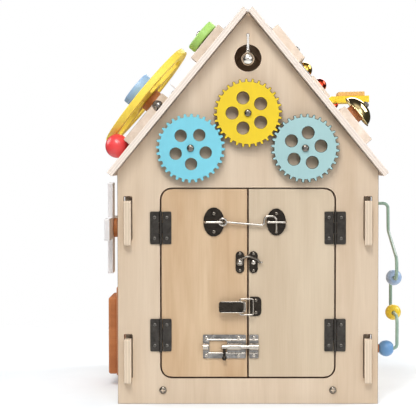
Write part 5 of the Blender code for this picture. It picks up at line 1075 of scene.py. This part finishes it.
def make_toggle_strike():
    """Black plate with rounded ends and a lip for the bail."""
    height, radius, middle, rise = TOGGLE_HEIGHT, 0.0052, 0.0103, 0.0060
    outline = arc(radius, 270, 360, 12, (middle, height - rise))
    outline += arc(radius, 0, 90, 12, (middle, height + rise))
    outline += [(0.0023, height + 0.0112), (0.0023, height - 0.0112)]
    sheet = sheet_plate("toggle_strike", outline)
    lip = plate("toggle_lip", rectangle(0.0034, 0.0034 + PLATE, -0.0062, 0.0062), [], -PLATE / 2, 0.0052,
                "black_plate", forward(0, PLATE_FRONT, height), PLATE_EDGE)
    stand_for([sheet, lip], "toggle_strike")
    plate_screws("toggle_strike", [(0.0090, height + 0.0070), (0.0090, height - 0.0070)])


def bolt_section(name, outline, left, right, z, bevel):
    """An outline drawn across the bolt and run from left to right on the plate."""
    place = basis((left, PLATE_FRONT, z), (0, 0, 1), (0, -1, 0))
    return plate(name, outline, [], 0, right - left, "nickel", place, bevel)


def bolt_tunnel(name, left, right):
    """Pressed half-round housing over the rod, with its foot on the plate."""
    inner = BOLT_ROD + 0.0004
    outer = inner + 0.0010
    axis_out, foot = GAP + BOLT_ROD, -PLATE / 2
    arch, hollow = [arc(radius, 0, 180, 20, (0.0, axis_out)) for radius in (outer, inner)]
    outline = [(outer, foot)] + arch + [(-outer, foot), (-inner, foot)] + hollow[::-1] + [(inner, foot)]
    return bolt_section(name, outline, left, right, BOLT_HEIGHT, 0.0002)


def bolt_ribs(name, left, right):
    """Two low pressed ribs along a plate, above and below the rod."""
    half = domed(0.0010, 0.0006, 6)
    outline = half + [(-x, y) for x, y in half[-2::-1]]
    return [bolt_section(f"{name}_{number}", outline, left, right, BOLT_HEIGHT + way * BOLT_RIB_RISE, 0)
            for number, way in enumerate((1, -1))]


def make_barrel_bolt():
    """Windowed plate and keeper with pressed tunnels, and the rod with its knob."""
    left, right, keeper_left, keeper_right = -0.0517, -0.0023, 0.0015, 0.0122
    low, high = BOLT_HEIGHT - BOLT_PLATE_HALF, BOLT_HEIGHT + BOLT_PLATE_HALF
    window = rectangle(-0.0445, -0.0240, BOLT_HEIGHT - 0.0066, BOLT_HEIGHT + 0.0066, 0.001)
    pieces = [sheet_plate("bolt", rectangle(left, right, low, high, 0.001), "steel", [window]),
              bolt_tunnel("bolt_tunnel_short", left, left + 0.0062),
              bolt_tunnel("bolt_tunnel_long", -0.0238, -0.0078)]
    stand_for(pieces + bolt_ribs("bolt_rib", left + 0.004, right - 0.0006), "bolt_plate")
    spread = (BOLT_HEIGHT + BOLT_SCREW_RISE, BOLT_HEIGHT - BOLT_SCREW_RISE)
    plate_screws("bolt_plate", [(x, z) for x in (-0.0480, -0.0108) for z in spread], "nickel")
    pieces = [sheet_plate("keeper", rectangle(keeper_left, keeper_right, low, high, 0.001), "steel"),
              bolt_tunnel("keeper_tunnel", keeper_left, keeper_right)]
    stand_for(pieces + bolt_ribs("keeper_rib", keeper_left + PLATE_EDGE, keeper_right - PLATE_EDGE),
              "bolt_keeper")
    plate_screws("bolt_keeper", [(0.0068, z) for z in spread], "nickel")
    axis_y = PLATE_FRONT - GAP - BOLT_ROD
    rod = bored("bolt_rod_bar", BOLT_ROD, 0, 0, 0.0420, "nickel",
                basis((-0.0305, axis_y, BOLT_HEIGHT), (0, 1, 0), (0, 0, 1)), SMALL_ROUND, 0.0006)
    radius, drop, neck = 0.0026, 0.0134, 0.0014
    profile = [(0, 0), (neck, 0), (neck, -drop + radius)]
    profile += [(radius * math.cos(a), -drop + radius * math.sin(a))
                for a in [math.radians(55 - 12.5 * i) for i in range(11)]] + [(0, -drop - radius)]
    knob = turned("bolt_knob", profile, "black_plate", shift(-0.0271, axis_y, BOLT_HEIGHT), SMALL_ROUND, 50)
    stand_for([rod, knob], "bolt_rod")


def make_hinges():
    """Leaves stay as they are; fine screws and knuckles cover their plain forms."""
    span = LEAF_HEIGHT / 3
    for side, way in (("left", LEFT), ("right", RIGHT)):
        for level, height in HINGE_HEIGHTS.items():
            for leaf, sign in (("frame", way), ("door", -way)):
                node = f"{side}_{level}_{leaf}_leaf"
                x = way * PIN_X + sign * HINGE_SCREW_REACH
                for number, z in enumerate((height - HINGE_SCREW_SPREAD, height + HINGE_SCREW_SPREAD)):
                    place = forward(x, FRONT - GAP - LEAF, z)
                    add_to(cross_screw(f"{node}_screw_{number}", *HINGE_SCREW, "dull_steel", place, 24), node)
            for number, owner in enumerate(("frame", "door", "frame")):
                low = height - LEAF_HEIGHT / 2 + number * span + GAP / 2
                barrel = bored(f"{side}_{level}_knuckle_{number}", KNUCKLE_RADIUS, 0.0015, 0, span - GAP,
                               "hinge_steel", shift(way * PIN_X, PIN_Y, low), SMALL_ROUND, 0.0002)
                add_to(barrel, f"{side}_{level}_{owner}_leaf")


def make_foot_bolts():
    low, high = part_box("base_board")
    middle, z = (low.x + high.x) / 2, (low.z + high.z) / 2
    apart, head_rise = 0.098, 0.0024
    for number, x in enumerate((middle - apart, middle + apart)):
        backward = basis((x, high.y - head_rise, z), (-1, 0, 0), (0, 0, 1))
        for end, place in (("front", forward(x, FRONT - GAP, z)), ("back", backward)):
            bolt = cross_screw(f"foot_bolt_{end}_{number}", 0.0043, 0.0021, "dark_steel", place)
            add_to(bolt, "base_board")


def make_roof_screws():
    slope_rows, gable_rows = (0.0305, 0.1260), (0.0103, 0.2817)
    for side, node in ((LEFT, "left_roof_panel"), (RIGHT, "right_roof_panel")):
        for i, s in enumerate(slope_rows):
            for j, y in enumerate(gable_rows):
                screw = cross_screw(f"{node}_screw_{i}{j}", 0.0034, 0.0022, "steel", on_slope(side, s, y))
                add_to(screw, node)


# Nodes of the model that are shown as they are

def dress_nodes():
    """Panels get finishes and eased edges; hinge leaves and bolts only finishes."""
    thin, wide = 0.0004, 0.0005
    panels = {
        "front_panel": ("front_wood", thin), "back_panel": ("back_wood", wide),
        "left_side_panel": ("left_wall_wood", wide), "right_side_panel": ("right_wall_wood", wide),
        "left_roof_panel": ("left_roof_wood", wide), "right_roof_panel": ("right_roof_wood", wide),
        "left_door_panel": ("left_door_wood", thin), "right_door_panel": ("right_door_wood", thin),
        "base_board": ("base_wood", wide),
    }
    for node, (finish, width) in panels.items():
        item = finished_node(node, finish)
        item.data.shade_flat()
        item.modifiers.new("joined faces", "WELD").merge_threshold = 1e-5
        ease_edges(item, width).use_clamp_overlap = False
    for node in [name + "_bolt" for name in GEARS] + ["windmill_bolt"]:
        dress(finished_node(node, "steel"), 35)
    for side in ("left", "right"):
        for level in HINGE_HEIGHTS:
            for leaf in ("frame", "door"):
                dress(finished_node(f"{side}_{level}_{leaf}_leaf", "hinge_steel"), 35)


def finished_node(node, finish):
    item = frame["nodes"][node]
    item.data.materials.clear()
    item.data.materials.append(FINISHES[finish])
    return item


# Studio and camera

def make_studio():
    """Round sheet of pale paper whose rim fades out, so that it meets the white world unseen."""
    tree = new_material("studio_paper")
    speck = tree.noise(tree.coordinates(), 30.0, 3.0)
    base = tree.ramp(speck, ((0.3, (0.82, 0.84, 0.857)), (0.7, (0.84, 0.86, 0.877))))
    distance = tree.add("ShaderNodeVectorMath", {0: tree.place()}, operation="LENGTH")
    fade = tree.ramp(distance.outputs["Value"], ((0.36, grey(1)), (0.9, grey(0))), "EASE")
    FINISHES["studio_paper"] = tree.finish(base, Roughness=0.9, Specular_IOR_Level=0.1, Alpha=fade,
                                           Emission_Strength=0.07, Emission_Color=(0.80, 0.92, 1.0))
    bm = bmesh.new()
    bmesh.ops.create_circle(bm, cap_ends=True, segments=96, radius=FLOOR_RADIUS)
    mesh_piece("studio_floor", bm, "studio_paper")


def area_light(name, place, target, size, power, colour=(1, 1, 1)):
    data = bpy.data.lights.new(name, "AREA")
    data.shape = "RECTANGLE"
    data.size, data.size_y = size, size
    data.energy = power
    data.color = colour
    light = bpy.data.objects.new(name, data)
    bpy.context.collection.objects.link(light)
    light.location = place
    light.rotation_euler = (Vector(target) - Vector(place)).to_track_quat("-Z", "Y").to_euler()


def make_lights():
    middle, gable, attic_back = (0, 0.1, 0.2), (0, 0, 0.42), (0, 0.28, 0.38)
    area_light("key", (-0.35, -1.15, 1.75), middle, 0.6, 15.5, (1.0, 0.985, 0.965))
    area_light("fill", (1.3, -1.7, 0.9), middle, 1.2, 10, (0.98, 0.985, 1.0))
    area_light("crown", (0.0, -1.1, 1.2), gable, 0.6, 8.5, (0.95, 0.975, 1.0))
    area_light("left_wash", (-1.9, 0.5, 1.3), middle, 1.2, 22)
    area_light("right_wash", (1.9, 0.5, 1.5), middle, 1.2, 30)
    area_light("attic_glow", (0, 0.16, 0.38), attic_back, 0.1, 0.008, (1.0, 0.8, 0.65))
    area_light("back_wash", (0.5, 2.4, 1.4), middle, 1.2, 18)


def make_world():
    """White behind the object, a soft pale light on it, and a studio that polished parts mirror."""
    world = bpy.data.worlds.new("studio_light")
    bpy.context.scene.world = world
    tree = Tree(world)
    soft = tree.nodes["Background"]
    tree.fill(soft.inputs, ((0.95, 0.97, 1.0), 0.28))
    white = tree.add("ShaderNodeBackground", {"Color": grey(1.0), "Strength": 1.0})
    mirrored = tree.add("ShaderNodeBackground", {"Color": studio_reflection(tree)})
    path = tree.add("ShaderNodeLightPath").outputs
    gloss = tree.add("ShaderNodeMixShader", {0: path["Is Glossy Ray"], 1: soft.outputs[0],
                                             2: mirrored.outputs[0]})
    seen = tree.math("MAXIMUM", path["Is Camera Ray"], path["Is Transmission Ray"])
    blend = tree.add("ShaderNodeMixShader", {0: seen, 1: gloss.outputs[0], 2: white.outputs[0]})
    tree.link(blend.outputs[0], tree.nodes["World Output"].inputs["Surface"])


def studio_reflection(tree):
    """A bright studio in front of the object and a dim room all round, by closeness to one direction."""
    towards = (0.15, -0.93, 0.33)
    closeness = tree.add("ShaderNodeVectorMath", {0: tree.place("Generated"), 1: towards},
                         operation="DOT_PRODUCT")
    levels = ((0.0, 0.05), (0.40, 0.08), (0.60, 0.35), (0.75, 1.0), (0.87, 0.9), (0.94, 0.45), (1.0, 0.35))
    return tree.ramp(closeness.outputs["Value"], [(place, grey(level)) for place, level in levels])


def make_camera():
    data = bpy.data.cameras.new("photo_camera")
    data.lens = 120.6
    data.sensor_width = 36.0
    data.shift_x = -0.096
    camera = bpy.data.objects.new("photo_camera", data)
    bpy.context.collection.objects.link(camera)
    camera.location = (0.0, -1.604, 0.285)
    camera.rotation_euler = (math.radians(90 - 2.1), 0, 0)
    bpy.context.scene.camera = camera
    bpy.context.scene.view_settings.view_transform = "Standard"


dress_nodes()
make_gears()
make_hanging_bell()
make_bell_cord()
make_left_roof()
make_right_roof()
make_left_wall()
make_right_wall()
make_cabin_latch()
make_small_latch()
make_toggle_base()
make_toggle_lever()
make_toggle_strike()
make_barrel_bolt()
make_hinges()
make_foot_bolts()
make_roof_screws()
make_studio()
make_lights()
make_world()
make_camera()
